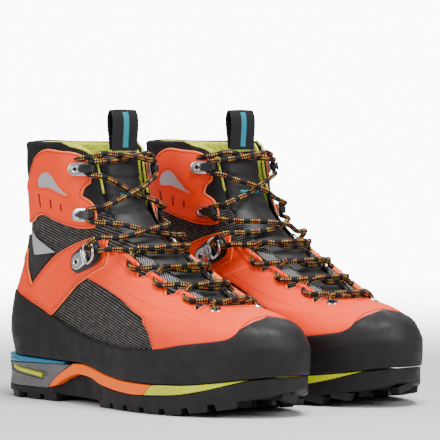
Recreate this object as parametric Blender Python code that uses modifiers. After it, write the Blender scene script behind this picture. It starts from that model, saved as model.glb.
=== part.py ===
"""A pair of laced mountaineering boots, standing side by side with their toes towards +X.

Each boot is drawn once, in its own millimetres: x runs from the heel to the toe, y towards the
outer (lateral) side and z up from the ground. It is then placed twice, as the left boot at +Y and,
mirrored, as the right boot at -Y. The upper parts are patterns laid on one form, the last, which is
described by its horizontal slices. A place on it is (t, z, h): t runs round the slice from 0 at the
back seam to 1 (outer side) or -1 (inner side) at the front centre line, and h is the distance out
from the last.
"""
from functools import lru_cache
from math import cos, pi, radians, sin

import bmesh
import bpy
import numpy as np
from mathutils import Matrix, Vector
from mathutils.geometry import delaunay_2d_cdt

# ---------------------------------------------------------------- driving sizes, in millimetres
MM = 0.001
SPACING = 128.0            # from the centre line of one boot to that of the other
MIDDLE = 149.2             # x of the middle of the pair's box, which becomes the origin
GAP = 0.4                  # clearance between pieces that touch on the real boot
COLLAR_TOP = 201.0
TREAD_DEPTH = 4.5
CUFF_AXIS = (75.0, 0.0, 118.0)
LOOP_AXIS = (110.0, 0.0, 206.0)
LACE_RADIUS = 2.1

# distances out from the last: inner and outer face of each layer
SHELL = (-2.5, 0.0)
LINING = (-8.4, -5.1)
TONGUE = (-7.4, -4.0)
OVERLAY = (1.0, 2.5)
RAND = (1.2, 3.7)
WEBBING = (0.7, 1.5)
HARDWARE = 3.0             # underside of the hooks and lock plates


def smooth(*pairs):
    """A function through (key, value) pairs that never overshoots them."""
    key, value = (np.array(column, float) for column in zip(*pairs))
    step = np.diff(key)
    slope = np.diff(value) / step
    tangent = np.zeros(len(key))
    tangent[0], tangent[-1] = slope[0], slope[-1]
    for i in range(1, len(key) - 1):
        if slope[i - 1] * slope[i] > 0:
            a = 2 * step[i] + step[i - 1]
            b = step[i] + 2 * step[i - 1]
            tangent[i] = (a + b) / (a / slope[i - 1] + b / slope[i])

    def read(x):
        x = np.clip(np.asarray(x, float), key[0], key[-1])
        i = np.clip(np.searchsorted(key, x) - 1, 0, len(key) - 2)
        t = (x - key[i]) / step[i]
        return ((1 + 2 * t) * (1 - t) ** 2 * value[i] + t * (1 - t) ** 2 * step[i] * tangent[i]
                + t * t * (3 - 2 * t) * value[i + 1] + t * t * (t - 1) * step[i] * tangent[i + 1])
    return read


# ---------------------------------------------------------------- the last
BACK = smooth((20, 2), (36, 1), (58, -2), (82, 2), (108, 11), (133, 16), (156, 17), (182, 14), (205, 11))
FRONT = smooth((16, 298), (30, 300), (48, 301), (60, 296), (70, 277), (76, 252), (86, 227), (100, 202),
               (117, 175), (134, 150), (148, 135), (162, 126), (185, 119), (205, 116))
HEEL_ROUND = smooth((20, 38), (60, 38), (114, 42), (151, 50), (205, 54))
TOE_ROUND = smooth((16, 78), (50, 76), (67, 88), (83, 100), (110, 90), (140, 56), (169, 40), (205, 40))
OUTER = smooth((0, 33), (40, 36), (90, 38), (140, 44), (200, 53), (235, 52), (270, 47), (300, 40))
INNER = smooth((0, 33), (40, 35), (90, 34), (140, 38), (200, 48), (230, 49), (265, 45), (300, 38))
SPINE = smooth((0, 0), (60, 0), (140, -1), (200, -1), (240, 1), (300, 3))
FULL = smooth((16, 1.01), (38, 1.03), (60, 1.02), (83, 0.99), (108, 0.96), (133, 0.97), (159, 1.06),
              (190, 1.14), (205, 1.16))


@lru_cache(maxsize=None)
def slice_at(z, side):
    """Half of the last's slice at height z: x, y and the distance run from the back seam."""
    back, front = float(BACK(z)), float(FRONT(z))
    heel, toe = float(HEEL_ROUND(z)), float(TOE_ROUND(z))
    fit = min(1.0, (front - back) / (heel + toe + 0.001))
    heel, toe = heel * fit, toe * fit
    turn = np.linspace(0, pi / 2, 60)
    straight = np.linspace(back + heel, front - toe, 40)[1:-1]
    x = np.concatenate([back + heel * (1 - np.cos(turn)), straight, front - toe * (1 - np.sin(turn))])
    round_off = np.concatenate([np.sin(turn), np.ones(len(straight)), np.cos(turn)])
    width = (OUTER if side > 0 else INNER)(x) * FULL(z)
    y = -SPINE(x) + side * width * round_off
    run = np.concatenate([[0], np.cumsum(np.hypot(np.diff(x), np.diff(y)))])
    return x, y, run


def girth(z, side):
    return slice_at(round(float(z), 1), side)[2][-1]


def on_last(t, z):
    if abs(t) > 1:
        t -= 2 * np.sign(t)
    x, y, run = slice_at(round(float(z), 1), 1 if t >= 0 else -1)
    reach = abs(t) * run[-1]
    return np.array([np.interp(reach, run, x), np.interp(reach, run, y), z])


def axes_at(t, z):
    """The last's directions at a place: round towards +t, up the wall, and straight out."""
    along = on_last(t + 0.01, z) - on_last(t - 0.01, z)
    up = on_last(t, z + 1) - on_last(t, z - 1)
    out = np.cross(up, along)
    out /= np.linalg.norm(out)
    along /= np.linalg.norm(along)
    return along, np.cross(along, out), out


def place(t, z, h):
    return on_last(t, z) + axes_at(t, z)[2] * h


def from_back(w, z):
    """t of a point w millimetres round from the back seam; the inner side takes the outer's share."""
    return w / girth(z, 1)


def from_front(v, z):
    """t of a point v millimetres round from the front centre line, in the same shares."""
    return (1 if v >= 0 else -1) * (1 - abs(v) / girth(z, 1))


# ---------------------------------------------------------------- the sole's lines, in side view
FEATHER = smooth((-10, 35), (46, 33.5), (97, 32.3), (115, 32), (128, 30.2), (149, 25.8), (172, 23.2),
                 (199, 22.6), (238, 23.6), (266, 26.6), (287, 29.6), (305, 32))


def feather(t):
    """Height of the line where the upper meets the sole."""
    return float(FEATHER(on_last(t, 32)[0]))


# ---------------------------------------------------------------- placing and finishing pieces
COLOURS = {
    "orange_synthetic": ((0.90, 0.18, 0.04), 0.55, 0.0),
    "woven_charcoal": ((0.06, 0.06, 0.065), 0.8, 0.0),
    "black_softshell": ((0.018, 0.017, 0.019), 0.8, 0.0),
    "black_rubber": ((0.02, 0.018, 0.02), 0.65, 0.0),
    "grey_urethane": ((0.18, 0.18, 0.18), 0.6, 0.0),
    "blue_urethane": ((0.0, 0.16, 0.26), 0.5, 0.0),
    "lime_urethane": ((0.50, 0.55, 0.02), 0.5, 0.0),
    "orange_foam": ((0.95, 0.20, 0.02), 0.6, 0.0),
    "lime_lining": ((0.55, 0.62, 0.06), 0.9, 0.0),
    "board_fibre": ((0.25, 0.22, 0.18), 0.8, 0.0),
    "lace_cord": ((0.02, 0.015, 0.02), 0.8, 0.0),
    "polished_steel": ((0.55, 0.55, 0.56), 0.25, 1.0),
    "grey_webbing": ((0.12, 0.13, 0.14), 0.8, 0.0),
}
BOOTS = {"right": -1, "left": 1}


def clear_scene():
    for item in list(bpy.data.objects):
        bpy.data.objects.remove(item, do_unlink=True)


def new_collection(name):
    made = bpy.data.collections.new(name)
    bpy.context.scene.collection.children.link(made)
    return made


def material(name):
    found = bpy.data.materials.get(name)
    if found:
        return found
    made = bpy.data.materials.new(name)
    made.use_nodes = True
    colour, roughness, metallic = COLOURS[name]
    shader = made.node_tree.nodes["Principled BSDF"]
    shader.inputs["Base Color"].default_value = (*colour, 1.0)
    shader.inputs["Roughness"].default_value = roughness
    shader.inputs["Metallic"].default_value = metallic
    return made


def to_world(point, boot):
    """Metres in the pair's frame, from millimetres in one boot's frame."""
    x, y, z = point
    return Vector(((x - MIDDLE) * MM, boot * (SPACING / 2 + y) * MM, z * MM))


def both(name, shape, finish, pivot=(MIDDLE, 0, 0), thickness=None, smoothed=True):
    """The right and the left copy of a piece, each with its origin at its pivot."""
    for word, boot in BOOTS.items():
        mesh = bpy.data.meshes.new(f"{word}_{name}")
        bm = shape.copy()
        origin = to_world(pivot, boot)
        for vertex in bm.verts:
            vertex.co = to_world(vertex.co, boot) - origin
        if boot < 0:
            bmesh.ops.reverse_faces(bm, faces=bm.faces)
        bm.to_mesh(mesh)
        bm.free()
        mesh.materials.append(material(finish))
        if smoothed:
            mesh.shade_smooth()
            mesh.set_sharp_from_angle(angle=radians(35))
        item = bpy.data.objects.new(f"{word}_{name}", mesh)
        PARTS.objects.link(item)
        item.parent = EMPTIES[word]
        item.location = origin - EMPTIES[word].location
        if thickness:
            wall = item.modifiers.new("thickness", "SOLIDIFY")
            wall.thickness = thickness * MM
            wall.offset = 0
    shape.free()


def cutter(name, shape):
    mesh = bpy.data.meshes.new(name)
    shape.to_mesh(mesh)
    shape.free()
    item = bpy.data.objects.new(name, mesh)
    CUTTERS.objects.link(item)
    item.hide_render = True
    item.display_type = "WIRE"
    return item


def combined(name, shape, other, operation):
    """The shape after one Boolean with another, as a new bmesh; both are used up."""
    base = cutter(name, shape)
    tool = cutter(name + "_tool", other)
    step = base.modifiers.new("step", "BOOLEAN")
    step.operation = operation
    step.solver = "EXACT"
    step.object = tool
    bpy.context.view_layer.update()
    seen = base.evaluated_get(bpy.context.evaluated_depsgraph_get())
    result = bmesh.new()
    result.from_mesh(seen.to_mesh())
    for item in (base, tool):
        bpy.data.objects.remove(item, do_unlink=True)
    bmesh.ops.remove_doubles(result, verts=result.verts, dist=0.001)
    bmesh.ops.triangulate(result, faces=result.faces)
    return result


# ---------------------------------------------------------------- ways to make a shape
def mirrored(outline):
    """A whole outline from its outer half, whose ends lie on the centre line."""
    return outline + [(-a, b) for a, b in reversed(outline) if abs(a) > 0.01]


def filled(outline, spacing):
    """A flat triangle net inside an outline, with edges no longer than the spacing."""
    edge = []
    for (ax, ay), (bx, by) in zip(outline, outline[1:] + outline[:1]):
        pieces = max(1, round(np.hypot(bx - ax, by - ay) / spacing))
        edge += [(ax + (bx - ax) * k / pieces, ay + (by - ay) * k / pieces) for k in range(pieces)]
    ring = np.array(edge)
    following = np.roll(ring, -1, axis=0)
    points = list(edge)
    lowest, highest = ring.min(axis=0), ring.max(axis=0)
    for i, y in enumerate(np.arange(lowest[1] + spacing / 2, highest[1], spacing * 0.87)):
        for x in np.arange(lowest[0] + spacing * (0.5 if i % 2 else 1.0), highest[0], spacing):
            to_point = np.array([x, y]) - ring
            run = following - ring
            f = np.clip((to_point * run).sum(1) / (run * run).sum(1), 0, 1)
            clear = np.linalg.norm(to_point - run * f[:, None], axis=1).min() > spacing * 0.55
            crosses = (ring[:, 1] > y) != (following[:, 1] > y)
            rise = np.where(crosses, following[:, 1] - ring[:, 1], 1.0)
            left = x < ring[:, 0] + (y - ring[:, 1]) * run[:, 0] / rise
            if clear and (crosses & left).sum() % 2:
                points.append((x, y))
    border = list(range(len(edge)))
    net = delaunay_2d_cdt([Vector(p) for p in points], [], [border], 1, 1e-4)
    return net[0], net[2]


def panel(outline, centre, layer, spacing=12.0, lean=1.0):
    """A pattern laid on the last; its first numbers run round from the back or the front.

    lean is how much longer the wall is than it is high, where the pattern lies on a slope.
    """
    flat, faces = filled([(a, z * lean) for a, z in outline], spacing)
    middle = (layer[0] + layer[1]) / 2
    bm = bmesh.new()
    laid = [bm.verts.new(place(centre(p.x, p.y / lean), p.y / lean, middle)) for p in flat]
    for face in faces:
        bm.faces.new([laid[i] for i in face])
    return bm


COLUMNS = [0, 0.035, 0.075, 0.12, 0.17, 0.23, 0.31, 0.4, 0.5, 0.6, 0.69, 0.77, 0.83, 0.88, 0.925, 0.965, 1]


def band(bottom, top, opening, fractions, layer):
    """A wall round the last between two edge lines, open at the front where opening(z) > 0."""
    middle = (layer[0] + layer[1]) / 2
    bm = bmesh.new()
    rows = []
    for f in fractions:
        z_front = bottom(1) + (top(1) - bottom(1)) * f
        v = float(opening(z_front))
        row = []
        for side in (-1, 1):
            end = 1 - v / girth(z_front, 1)
            reach = [c for c in COLUMNS if c < end - 0.03] + [end]
            reach += [end] * (len(COLUMNS) - len(reach))
            half = [(side * c, bottom(side * c) + (top(side * c) - bottom(side * c)) * f) for c in reach]
            row += half[::-1] if side < 0 else half[1:]
        rows.append([bm.verts.new(place(t, z, middle)) for t, z in row])
    for low, high in zip(rows, rows[1:]):
        for k in range(len(low) - 1):
            bm.faces.new((low[k], high[k], high[k + 1], low[k + 1]))
    bmesh.ops.remove_doubles(bm, verts=bm.verts, dist=0.05)
    bmesh.ops.reverse_faces(bm, faces=bm.faces)
    return bm


def plan_outline(outset, count=44):
    """The foot's outline seen from above, moved outwards by outset(x)."""
    points = []
    for side in (1, -1):
        ends = np.linspace(0, 1, count // 2 + 1)
        half = []
        for c in ends:
            c = c - 0.1 * sin(2 * pi * c) / 1.6
            p = on_last(side * c, 30)
            out = axes_at(side * c, 30)[2]
            flat = out[:2] / np.linalg.norm(out[:2])
            half.append(tuple(p[:2] + flat * outset(p[0])))
        points += half if side > 0 else half[::-1][1:-1]
    return points


def prism(outline, plane, low, high):
    """A solid with a flat outline; plane 'xy' rises in z and plane 'xz' runs across in y."""
    bm = bmesh.new()
    spot = (lambda a, b, c: (a, b, c)) if plane == "xy" else (lambda a, b, c: (a, c, b))
    start = bm.faces.new([bm.verts.new(spot(a, b, low)) for a, b in outline])
    grown = bmesh.ops.extrude_face_region(bm, geom=[start])
    moved = [g for g in grown["geom"] if isinstance(g, bmesh.types.BMVert)]
    bmesh.ops.translate(bm, verts=moved, vec=spot(0, 0, high - low))
    bmesh.ops.recalc_face_normals(bm, faces=bm.faces)
    return bm


def block(size, centre):
    bm = bmesh.new()
    bmesh.ops.create_cube(bm, size=1)
    bmesh.ops.scale(bm, vec=size, verts=bm.verts)
    bmesh.ops.translate(bm, vec=centre, verts=bm.verts)
    return bm


def stand(bm, t, z, tilt, height):
    """Turns a shape made flat at the origin onto the last: +X towards the throat, +Z out."""
    round_way, up, out = axes_at(t, z)
    forward = round_way * (1 if t > 0 else -1)
    ahead = forward * cos(tilt) + up * sin(tilt)
    across = np.cross(out, ahead)
    base = place(t, z, height)
    for vertex in bm.verts:
        a, b, c = vertex.co
        vertex.co = base + ahead * a + across * b + out * c
    return bm


# ---------------------------------------------------------------- the sole
HEEL_OUTSET = smooth((-12, 8.5), (4, 7.5), (28, 4.0), (45, 3.2), (305, 3.2))
SOLE_JOIN = [(68.5, 10.3), (74, 16), (85, 23), (101, 31.4)]       # heel block to arch wedge
ARCH_UNDER = [(199, 14), (186, 13.5), (164, 14.5), (142, 17.5), (125, 22.5), (110, 23.5), (91, 18.5),
              (79, 12.7)]
WEDGE_UNDER = [(282, 28.2), (272, 25), (252, 19.5), (232, 16)]
INSERT = [(15, 22.6), (17, 26.2), (61, 21.4), (59, 17.4)]


def side_cut(profile, outset=HEEL_OUTSET, name="sole_step"):
    """A sole piece: its side view run across the boot and trimmed to the foot's outline."""
    return combined(name, prism(profile, "xz", -80, 80),
                    prism(plan_outline(outset), "xy", -5, 60), "INTERSECT")


def outsole():
    top = [(-14, 9.6), (68, 10.0)] + [(x, z - GAP) for x, z in reversed(ARCH_UNDER)]
    top += [(x, z - GAP) for x, z in reversed(WEDGE_UNDER)] + [(288, 28.9), (310, 31.5)]
    under = [(310, 24), (300, 19), (296, 12.5), (279, 8.5), (258, 6), (233, 2.2), (215, 0), (150, 0),
             (138, 4), (84, 5), (72, 0), (0, 0), (-14, 1.5)]
    bm = side_cut(top + under)
    grooves = [(22, 0), (46, 0), (160, 0), (182, 0), (204, 0), (228, 1.6), (252, 5), (276, 8)]
    for x, rise in grooves:
        groove = block((4.5, 160, 2 * TREAD_DEPTH), (x, 0, rise))
        bm = combined("outsole_step", bm, groove, "DIFFERENCE")
    both("outsole", bm, "black_rubber", smoothed=False)


def heel_block():
    profile = [(-14, 10.1)] + [(x - GAP, z + 0.1) for x, z in SOLE_JOIN[:3]] + [(98, 30.0)]
    profile += [(85, 29.9), (46, 28.7), (20, 28.1), (-14, 28.0)]
    bm = side_cut(profile)
    a, b, c, d = INSERT
    pocket = [(a[0] - GAP, a[1] - GAP), (b[0] - GAP, b[1] + GAP), (c[0] + GAP, c[1] + GAP),
              (d[0] + GAP, d[1] - GAP)]
    bm = combined("heel_step", bm, prism(pocket, "xz", -80, 80), "DIFFERENCE")
    both("heel_frame", bm, "grey_urethane", smoothed=False)


def heel_insert():
    both("heel_insert", side_cut(INSERT), "lime_urethane", smoothed=False)


def crampon_ledge():
    profile = [(-14, 28.5), (-14, 37), (-4.8, 37), (-4.8, 34.6), (10, 34.3), (46, 33.1), (92, 31.9),
               (88, 30.4), (46, 29.2), (20, 28.6)]
    both("crampon_ledge", side_cut(profile), "blue_urethane", smoothed=False)


def arch_midsole():
    top = [(128, 29.8), (149, 25.4), (172, 22.8), (199, 22.2), (208, 22.0)]
    profile = [(x + GAP, z) for x, z in SOLE_JOIN] + [(114, 31.6)] + top + ARCH_UNDER
    both("arch_midsole", side_cut(profile), "orange_foam", smoothed=False)


def forefoot_midsole():
    profile = [(200.2, 14.2), (209.2, 22.0), (238, 23.2), (266, 26.2), (286, 29.0)] + WEDGE_UNDER
    both("forefoot_midsole", side_cut(profile), "lime_urethane", smoothed=False)


def inner_sole(name, inset, level, thickness, finish):
    flat, faces = filled(plan_outline(lambda x: inset, 30), 26)
    bm = bmesh.new()
    laid = [bm.verts.new((p.x, p.y, float(FEATHER(p.x)) + level)) for p in flat]
    for face in faces:
        bm.faces.new([laid[i] for i in face])
    both(name, bm, finish, thickness=thickness)


# ---------------------------------------------------------------- the upper's walls
SHELL_TOP = smooth((0, 112), (0.4, 113), (0.45, 116), (0.6, 125), (0.7, 128), (1, 128))
RAND_TOP = smooth((0, 86), (0.12, 85), (0.19, 81), (0.27, 69), (0.37, 56.5), (0.45, 51), (0.55, 48),
                  (0.66, 49), (0.76, 54), (0.85, 57.5), (0.9, 65), (0.95, 69.5), (1, 72))
THROAT = smooth((77.9, 0), (78, 0), (84, 12), (90, 15), (100, 18), (110, 21), (119, 24), (128, 27),
                (138, 27), (170, 26), (186, 27), (193, 30), (198, 34), (201, 42))
LINING_THROAT = smooth((77.9, 0), (78, 0), (84, 20), (90, 29), (110, 39), (135, 46), (201, 48))
FLEX_TOP = 137.4
CUFF_BOTTOM = 138.0


def upper_walls():
    bm = band(lambda t: feather(t) + GAP, lambda t: float(SHELL_TOP(abs(t))), THROAT,
              [0, 0.15, 0.27, 0.354, 0.417, 0.478, 0.54, 0.66, 0.8, 0.9, 1], SHELL)
    both("upper_shell", bm, "woven_charcoal", thickness=SHELL[1] - SHELL[0])
    bm = band(lambda t: float(SHELL_TOP(abs(t))) + 0.6, lambda t: FLEX_TOP, THROAT, [0, 0.5, 1], SHELL)
    both("ankle_flex", bm, "woven_charcoal", thickness=SHELL[1] - SHELL[0])
    bm = band(lambda t: CUFF_BOTTOM, lambda t: COLLAR_TOP, THROAT, [0, 0.2, 0.4, 0.6, 0.8, 0.93, 1], SHELL)
    both("collar", bm, "black_softshell", pivot=CUFF_AXIS, thickness=SHELL[1] - SHELL[0])
    bm = band(lambda t: feather(t) + 3.4, lambda t: COLLAR_TOP - 1.5, LINING_THROAT,
              [0, 0.08, 0.15, 0.2, 0.26, 0.32, 0.42, 0.52, 0.62, 0.78, 1], LINING)
    both("lining", bm, "lime_lining", thickness=LINING[1] - LINING[0])
    bm = band(lambda t: feather(t) + 2 * GAP, lambda t: float(RAND_TOP(abs(t))), lambda z: 0,
              [0, 0.3, 0.58, 0.8, 0.92, 1], RAND)
    both("rand", bm, "black_rubber", thickness=RAND[1] - RAND[0])


# ---------------------------------------------------------------- overlays, outer half outlines
CUFF_PATTERN = [(0, 166), (30, 169), (45, 175), (56, 184), (66, 193), (78, 198), (97, 197), (111, 195),
                (117, 192), (119, 181), (118, 172), (112, 167), (110, 162), (117, 157), (121, 147),
                (121, 137), (111, 136.5), (99, 137.5), (87, 140), (75, 143), (64, 146.5), (54, 145),
                (45, 140.5), (30, 139.2), (0, 139)]
QUARTER_PATTERN = [(0, 108), (30, 115), (37, 119), (42, 108), (52, 98), (59, 91), (63, 98), (70, 107),
                   (78, 114), (90, 120), (102, 124.5), (115, 128.5), (126, 131), (132, 131.5),
                   (136, 129), (137, 124), (142, 118), (145, 108), (131, 101), (124, 96.5), (118, 93),
                   (110, 85), (101, 76), (93, 69.8), (82, 73.8), (67, 78.7), (52, 82.7), (40, 85.3),
                   (20, 86.7), (0, 87.3)]
HEEL_PATTERN = [(0, 129), (44, 129), (52, 128), (61, 123.5), (72, 119.5), (79, 116.4), (76.6, 115),
                (68.6, 107.8), (61.6, 98.6), (59, 93.4), (53.2, 99), (43.4, 108.8), (38, 121),
                (29.6, 117), (0, 109.6)]
VAMP_PATTERN = [(0, 79.3), (14, 80), (24, 80.5), (39, 77), (26, 84), (29, 89.5), (44, 87), (32, 96),
                (35, 102.5), (50, 100), (38, 109), (39, 116), (51, 118), (61, 107), (99, 100.8),
                (106, 96.5), (95, 90), (92, 82), (98, 74), (112, 66), (117, 57), (117, 50.6),
                (101, 53.2), (82, 55.6), (64, 57.6), (52, 59.2), (44, 62), (36, 66.4), (27, 69.2),
                (18, 71.2), (9, 72.4), (0, 73.4)]
WEBBING_PATTERN = [(24.8, 113), (36.3, 116.5), (36, 110), (32, 101), (28.5, 94), (25.5, 88.5), (22.5, 85),
                   (17, 85.5), (19.5, 92), (22, 101), (24.5, 110)]
TONGUE_PATTERN = [(0, 204), (37, 204), (39, 199), (39, 135), (32, 110), (22, 91), (12, 84), (0, 83)]


def overlays():
    depth = OVERLAY[1] - OVERLAY[0]
    both("cuff_overlay", panel(mirrored(CUFF_PATTERN), from_back, OVERLAY), "orange_synthetic",
         pivot=CUFF_AXIS, thickness=depth)
    both("quarter_overlay", panel(mirrored(QUARTER_PATTERN), from_back, OVERLAY), "orange_synthetic",
         thickness=depth)
    both("heel_panel", panel(mirrored(HEEL_PATTERN), from_back, OVERLAY), "black_softshell",
         thickness=depth)
    both("vamp_overlay", panel(mirrored(VAMP_PATTERN), from_front, OVERLAY, 12, 2.0), "orange_synthetic",
         thickness=depth)
    both("tongue", panel(mirrored(TONGUE_PATTERN), from_front, TONGUE, 15, 1.6), "black_softshell",
         pivot=CUFF_AXIS, thickness=TONGUE[1] - TONGUE[0])
    for word, side in (("lateral", 1), ("medial", -1)):
        outline = [(side * v, z) for v, z in WEBBING_PATTERN]
        both(f"webbing_{word}", panel(outline, from_front, WEBBING, 9, 1.8), "grey_webbing",
             thickness=WEBBING[1] - WEBBING[0])


def pull_loop():
    """A strip of webbing folded over; it stands on the tongue's top edge and swings there."""
    x, _, z = LOOP_AXIS
    half = [(1.2, 0.4), (3.2, 5), (4.4, 11), (3.6, 16.5), (1.4, 19.6)]
    line = [(-a, b) for a, b in half] + [(a, b) for a, b in reversed(half)]
    bm = bmesh.new()
    rows = [[bm.verts.new((x + a, y, z + b)) for a, b in line] for y in (-12, 12)]
    for k in range(len(line) - 1):
        bm.faces.new((rows[0][k], rows[0][k + 1], rows[1][k + 1], rows[1][k]))
    both("pull_loop", bm, "black_softshell", pivot=LOOP_AXIS, thickness=1.6)


# ---------------------------------------------------------------- hooks, lock plates and rings
HOOKS = {"upper": (37.0, 182.5, 0.0), "lower": (45.0, 147.0, 0.0)}   # distance from front, height, tilt
HOOK_WIDTH = 10.0
NECK_HALF = 2.2
LIP_UNDER = 1.2 + 2 * LACE_RADIUS + 2 * GAP
LOCK = (88.0, 113.0, radians(24))
RING_AXIS = (6.5, 3.0)                         # ahead of the plate's middle, and above its underside
RING_REACH = 15.0
RING_HALF = 7.5
RING_WIRE = 1.1
RING_LIFT = radians(15)


def hook(side, v, z, tilt):
    """A riveted plate, a neck at its throat end and a lip that runs back over the lace."""
    arc = np.linspace(pi / 2, 3 * pi / 2, 7)
    outline = [(8, -HOOK_WIDTH / 2), (8, HOOK_WIDTH / 2)]
    outline += [(-8 + 5 * cos(a), 5 * sin(a)) for a in arc]
    plate = prism(outline, "xy", 0, 1.2)
    neck = block((2, 2 * NECK_HALF, LIP_UNDER + 0.6), (7, 0, LIP_UNDER / 2 + 0.5))
    lip = block((11.5, 6.6, 1.5), (2.25, 0, LIP_UNDER + 0.75))
    bm = combined("hook_step", combined("hook_step", plate, neck, "UNION"), lip, "UNION")
    return stand(bm, from_front(side * v, z), z, tilt, HARDWARE)


def lock_frame(side):
    v, z, tilt = LOCK
    return from_front(side * v, z), z, tilt


def lock_plate(side):
    """A long plate with a rivet hole at its rear end and a barrel that holds the ring's bar."""
    arc = np.linspace(pi / 2, 3 * pi / 2, 9)
    outline = [(4, -6.5), (4, 6.5)] + [(-6 + 6.5 * cos(a), 6.5 * sin(a)) for a in arc]
    bm = prism(outline, "xy", 0, 1.6)
    bore = bmesh.new()
    bmesh.ops.create_cone(bore, cap_ends=True, segments=12, radius1=2, radius2=2, depth=8)
    bmesh.ops.translate(bore, vec=(-6.5, 0, 0), verts=bore.verts)
    bm = combined("lock_step", bm, bore, "DIFFERENCE")
    barrel = block((6.4, 5.4, 5.0), (RING_AXIS[0] - 0.6, 0, RING_AXIS[1] - 0.4))
    bm = combined("lock_step", bm, barrel, "UNION")
    bore = bmesh.new()
    bmesh.ops.create_cone(bore, cap_ends=True, segments=8, radius1=1.6, radius2=1.6, depth=9)
    bmesh.ops.rotate(bore, verts=bore.verts, matrix=Matrix.Rotation(pi / 2, 3, "X"))
    bmesh.ops.translate(bore, vec=(RING_AXIS[0], 0, RING_AXIS[1]), verts=bore.verts)
    bm = combined("lock_step", bm, bore, "DIFFERENCE")
    return stand(bm, *lock_frame(side), HARDWARE)


def ring_points():
    """Centre line of the closed wire ring, from its bar out to its rounded front."""
    reach, half = RING_REACH, RING_HALF
    arc = np.linspace(-pi / 2, pi / 2, 7)
    front = [(reach - 5 + 5 * cos(a), (half - 5) * np.sign(a) + 5 * sin(a)) for a in arc]
    flat = [(0.0, 4.2), (0.0, 0.0), (0.0, -4.2), (3.2, -half)] + front + [(3.2, half)]
    return [(RING_AXIS[0] + a * cos(RING_LIFT), b, RING_AXIS[1] + a * sin(RING_LIFT)) for a, b in flat]


def lock_ring(side):
    """A wire tube swept round the ring's closed centre line."""
    line = np.array(ring_points())
    plane_out = np.array([-sin(RING_LIFT), 0, cos(RING_LIFT)])
    bm = bmesh.new()
    loops = []
    for k, point in enumerate(line):
        ahead = line[(k + 1) % len(line)] - line[k - 1]
        ahead /= np.linalg.norm(ahead)
        sideways = np.cross(plane_out, ahead)
        turns = [2 * pi * n / 6 for n in range(6)]
        loops.append([bm.verts.new(point + RING_WIRE * (sideways * cos(a) + plane_out * sin(a)))
                      for a in turns])
    for k, loop in enumerate(loops):
        after = loops[(k + 1) % len(loops)]
        for n in range(6):
            bm.faces.new((loop[n], loop[(n + 1) % 6], after[(n + 1) % 6], after[n]))
    bmesh.ops.recalc_face_normals(bm, faces=bm.faces)
    return stand(bm, *lock_frame(side), HARDWARE)


def ring_pivot(side):
    """Two points of the ring's bar, which give its axis."""
    pins = bmesh.new()
    ends = [pins.verts.new((RING_AXIS[0], y, RING_AXIS[1])) for y in (0, 1)]
    stand(pins, *lock_frame(side), HARDWARE)
    middle, beside = (tuple(p.co) for p in ends)
    pins.free()
    return middle, beside


def hardware():
    for side_word, side in (("lateral", 1), ("medial", -1)):
        for level, (v, z, tilt) in HOOKS.items():
            both(f"{level}_hook_{side_word}", hook(side, v, z, tilt), "polished_steel",
                 pivot=CUFF_AXIS, smoothed=False)
        both(f"lock_plate_{side_word}", lock_plate(side), "polished_steel", smoothed=False)
        both(f"lock_ring_{side_word}", lock_ring(side), "polished_steel", pivot=ring_pivot(side)[0])


# ---------------------------------------------------------------- the lace
TURN = NECK_HALF + GAP + LACE_RADIUS + 0.2           # radius of the lace round a hook's neck
LACE_REST = OVERLAY[1] + LACE_RADIUS           # height at which it would touch the overlays
LOOPS = [(23.0, 76.9), (30.0, 81.2), (36.0, 91.0), (42.0, 103.2)]    # distance from front, height
CROSS_AT = 8.0             # how far from the centre line the lace comes down on the tongue
UNDER, OVER = 1.5, 6.8
EDGE_RISE = 6.9            # height at which it passes over the throat's edges
TOE_RISE = 4.0             # more height for the lowest crossing, which lies on the overlay


def near(side, v, z, tilt, base, points):
    """Points given ahead, across and out from a place on the last, with +x to the throat."""
    pins = bmesh.new()
    ends = [pins.verts.new(p) for p in points]
    stand(pins, from_front(side * v, z), z, tilt, base)
    moved = [tuple(p.co) for p in ends]
    pins.free()
    return moved


def turns(side):
    """The lace's turn at each level on one side, from its lower strand to its upper one."""
    made = []
    flip = side                       # 'across' points down the boot on the outer side
    for v, z in LOOPS:
        shape = [(4, 4.8, 0), (-1.2, 0, 0), (4, -4.8, 0)]
        made.append(near(side, v, z, 0, LACE_REST + 1.1, [(a, b * flip, c) for a, b, c in shape]))
    v, z, tilt = LOCK
    bar = RING_AXIS[0] + RING_REACH * cos(RING_LIFT)
    rise = RING_AXIS[1] + RING_REACH * sin(RING_LIFT)
    apart = RING_WIRE + LACE_RADIUS + GAP + 0.6
    slant = apart * 0.74
    shape = [(bar + 9, 4.6, rise - apart + 0.3), (bar + 1, 2.6, rise - apart),
             (bar - slant, 1.2, rise - slant), (bar - apart, 0, rise), (bar - slant, -1.2, rise + slant),
             (bar + 1, -2.6, rise + apart), (bar + 9, -4.6, rise + 1.8)]
    made.append(near(side, v, z, tilt, HARDWARE, [(a, b * flip, c) for a, b, c in shape]))
    for v, z, tilt in (HOOKS["lower"], HOOKS["upper"]):
        level = 1.2 + GAP + LACE_RADIUS
        shape = [(14, TURN + 1, level), (6, TURN, level), (5.6 - TURN, 0, level), (6, -TURN, level),
                 (14, -TURN - 1, level)]
        made.append(near(side, v, z, tilt, HARDWARE, [(a, b * flip, c) for a, b, c in shape]))
    return made


def nearest_place(point):
    """Height and signed distance from the front centre line of a point near the throat."""
    best = None
    for z in np.arange(point[2] - 9, point[2] + 9, 0.5):
        for side in (1, -1):
            x, y, run = slice_at(round(float(z), 1), side)
            d = np.hypot(np.hypot(x - point[0], y - point[1]), z - point[2])
            k = int(np.argmin(d))
            if best is None or d[k] < best[0]:
                best = (d[k], side * (run[-1] - run[k]), z)
    return best[1], best[2]


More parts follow.
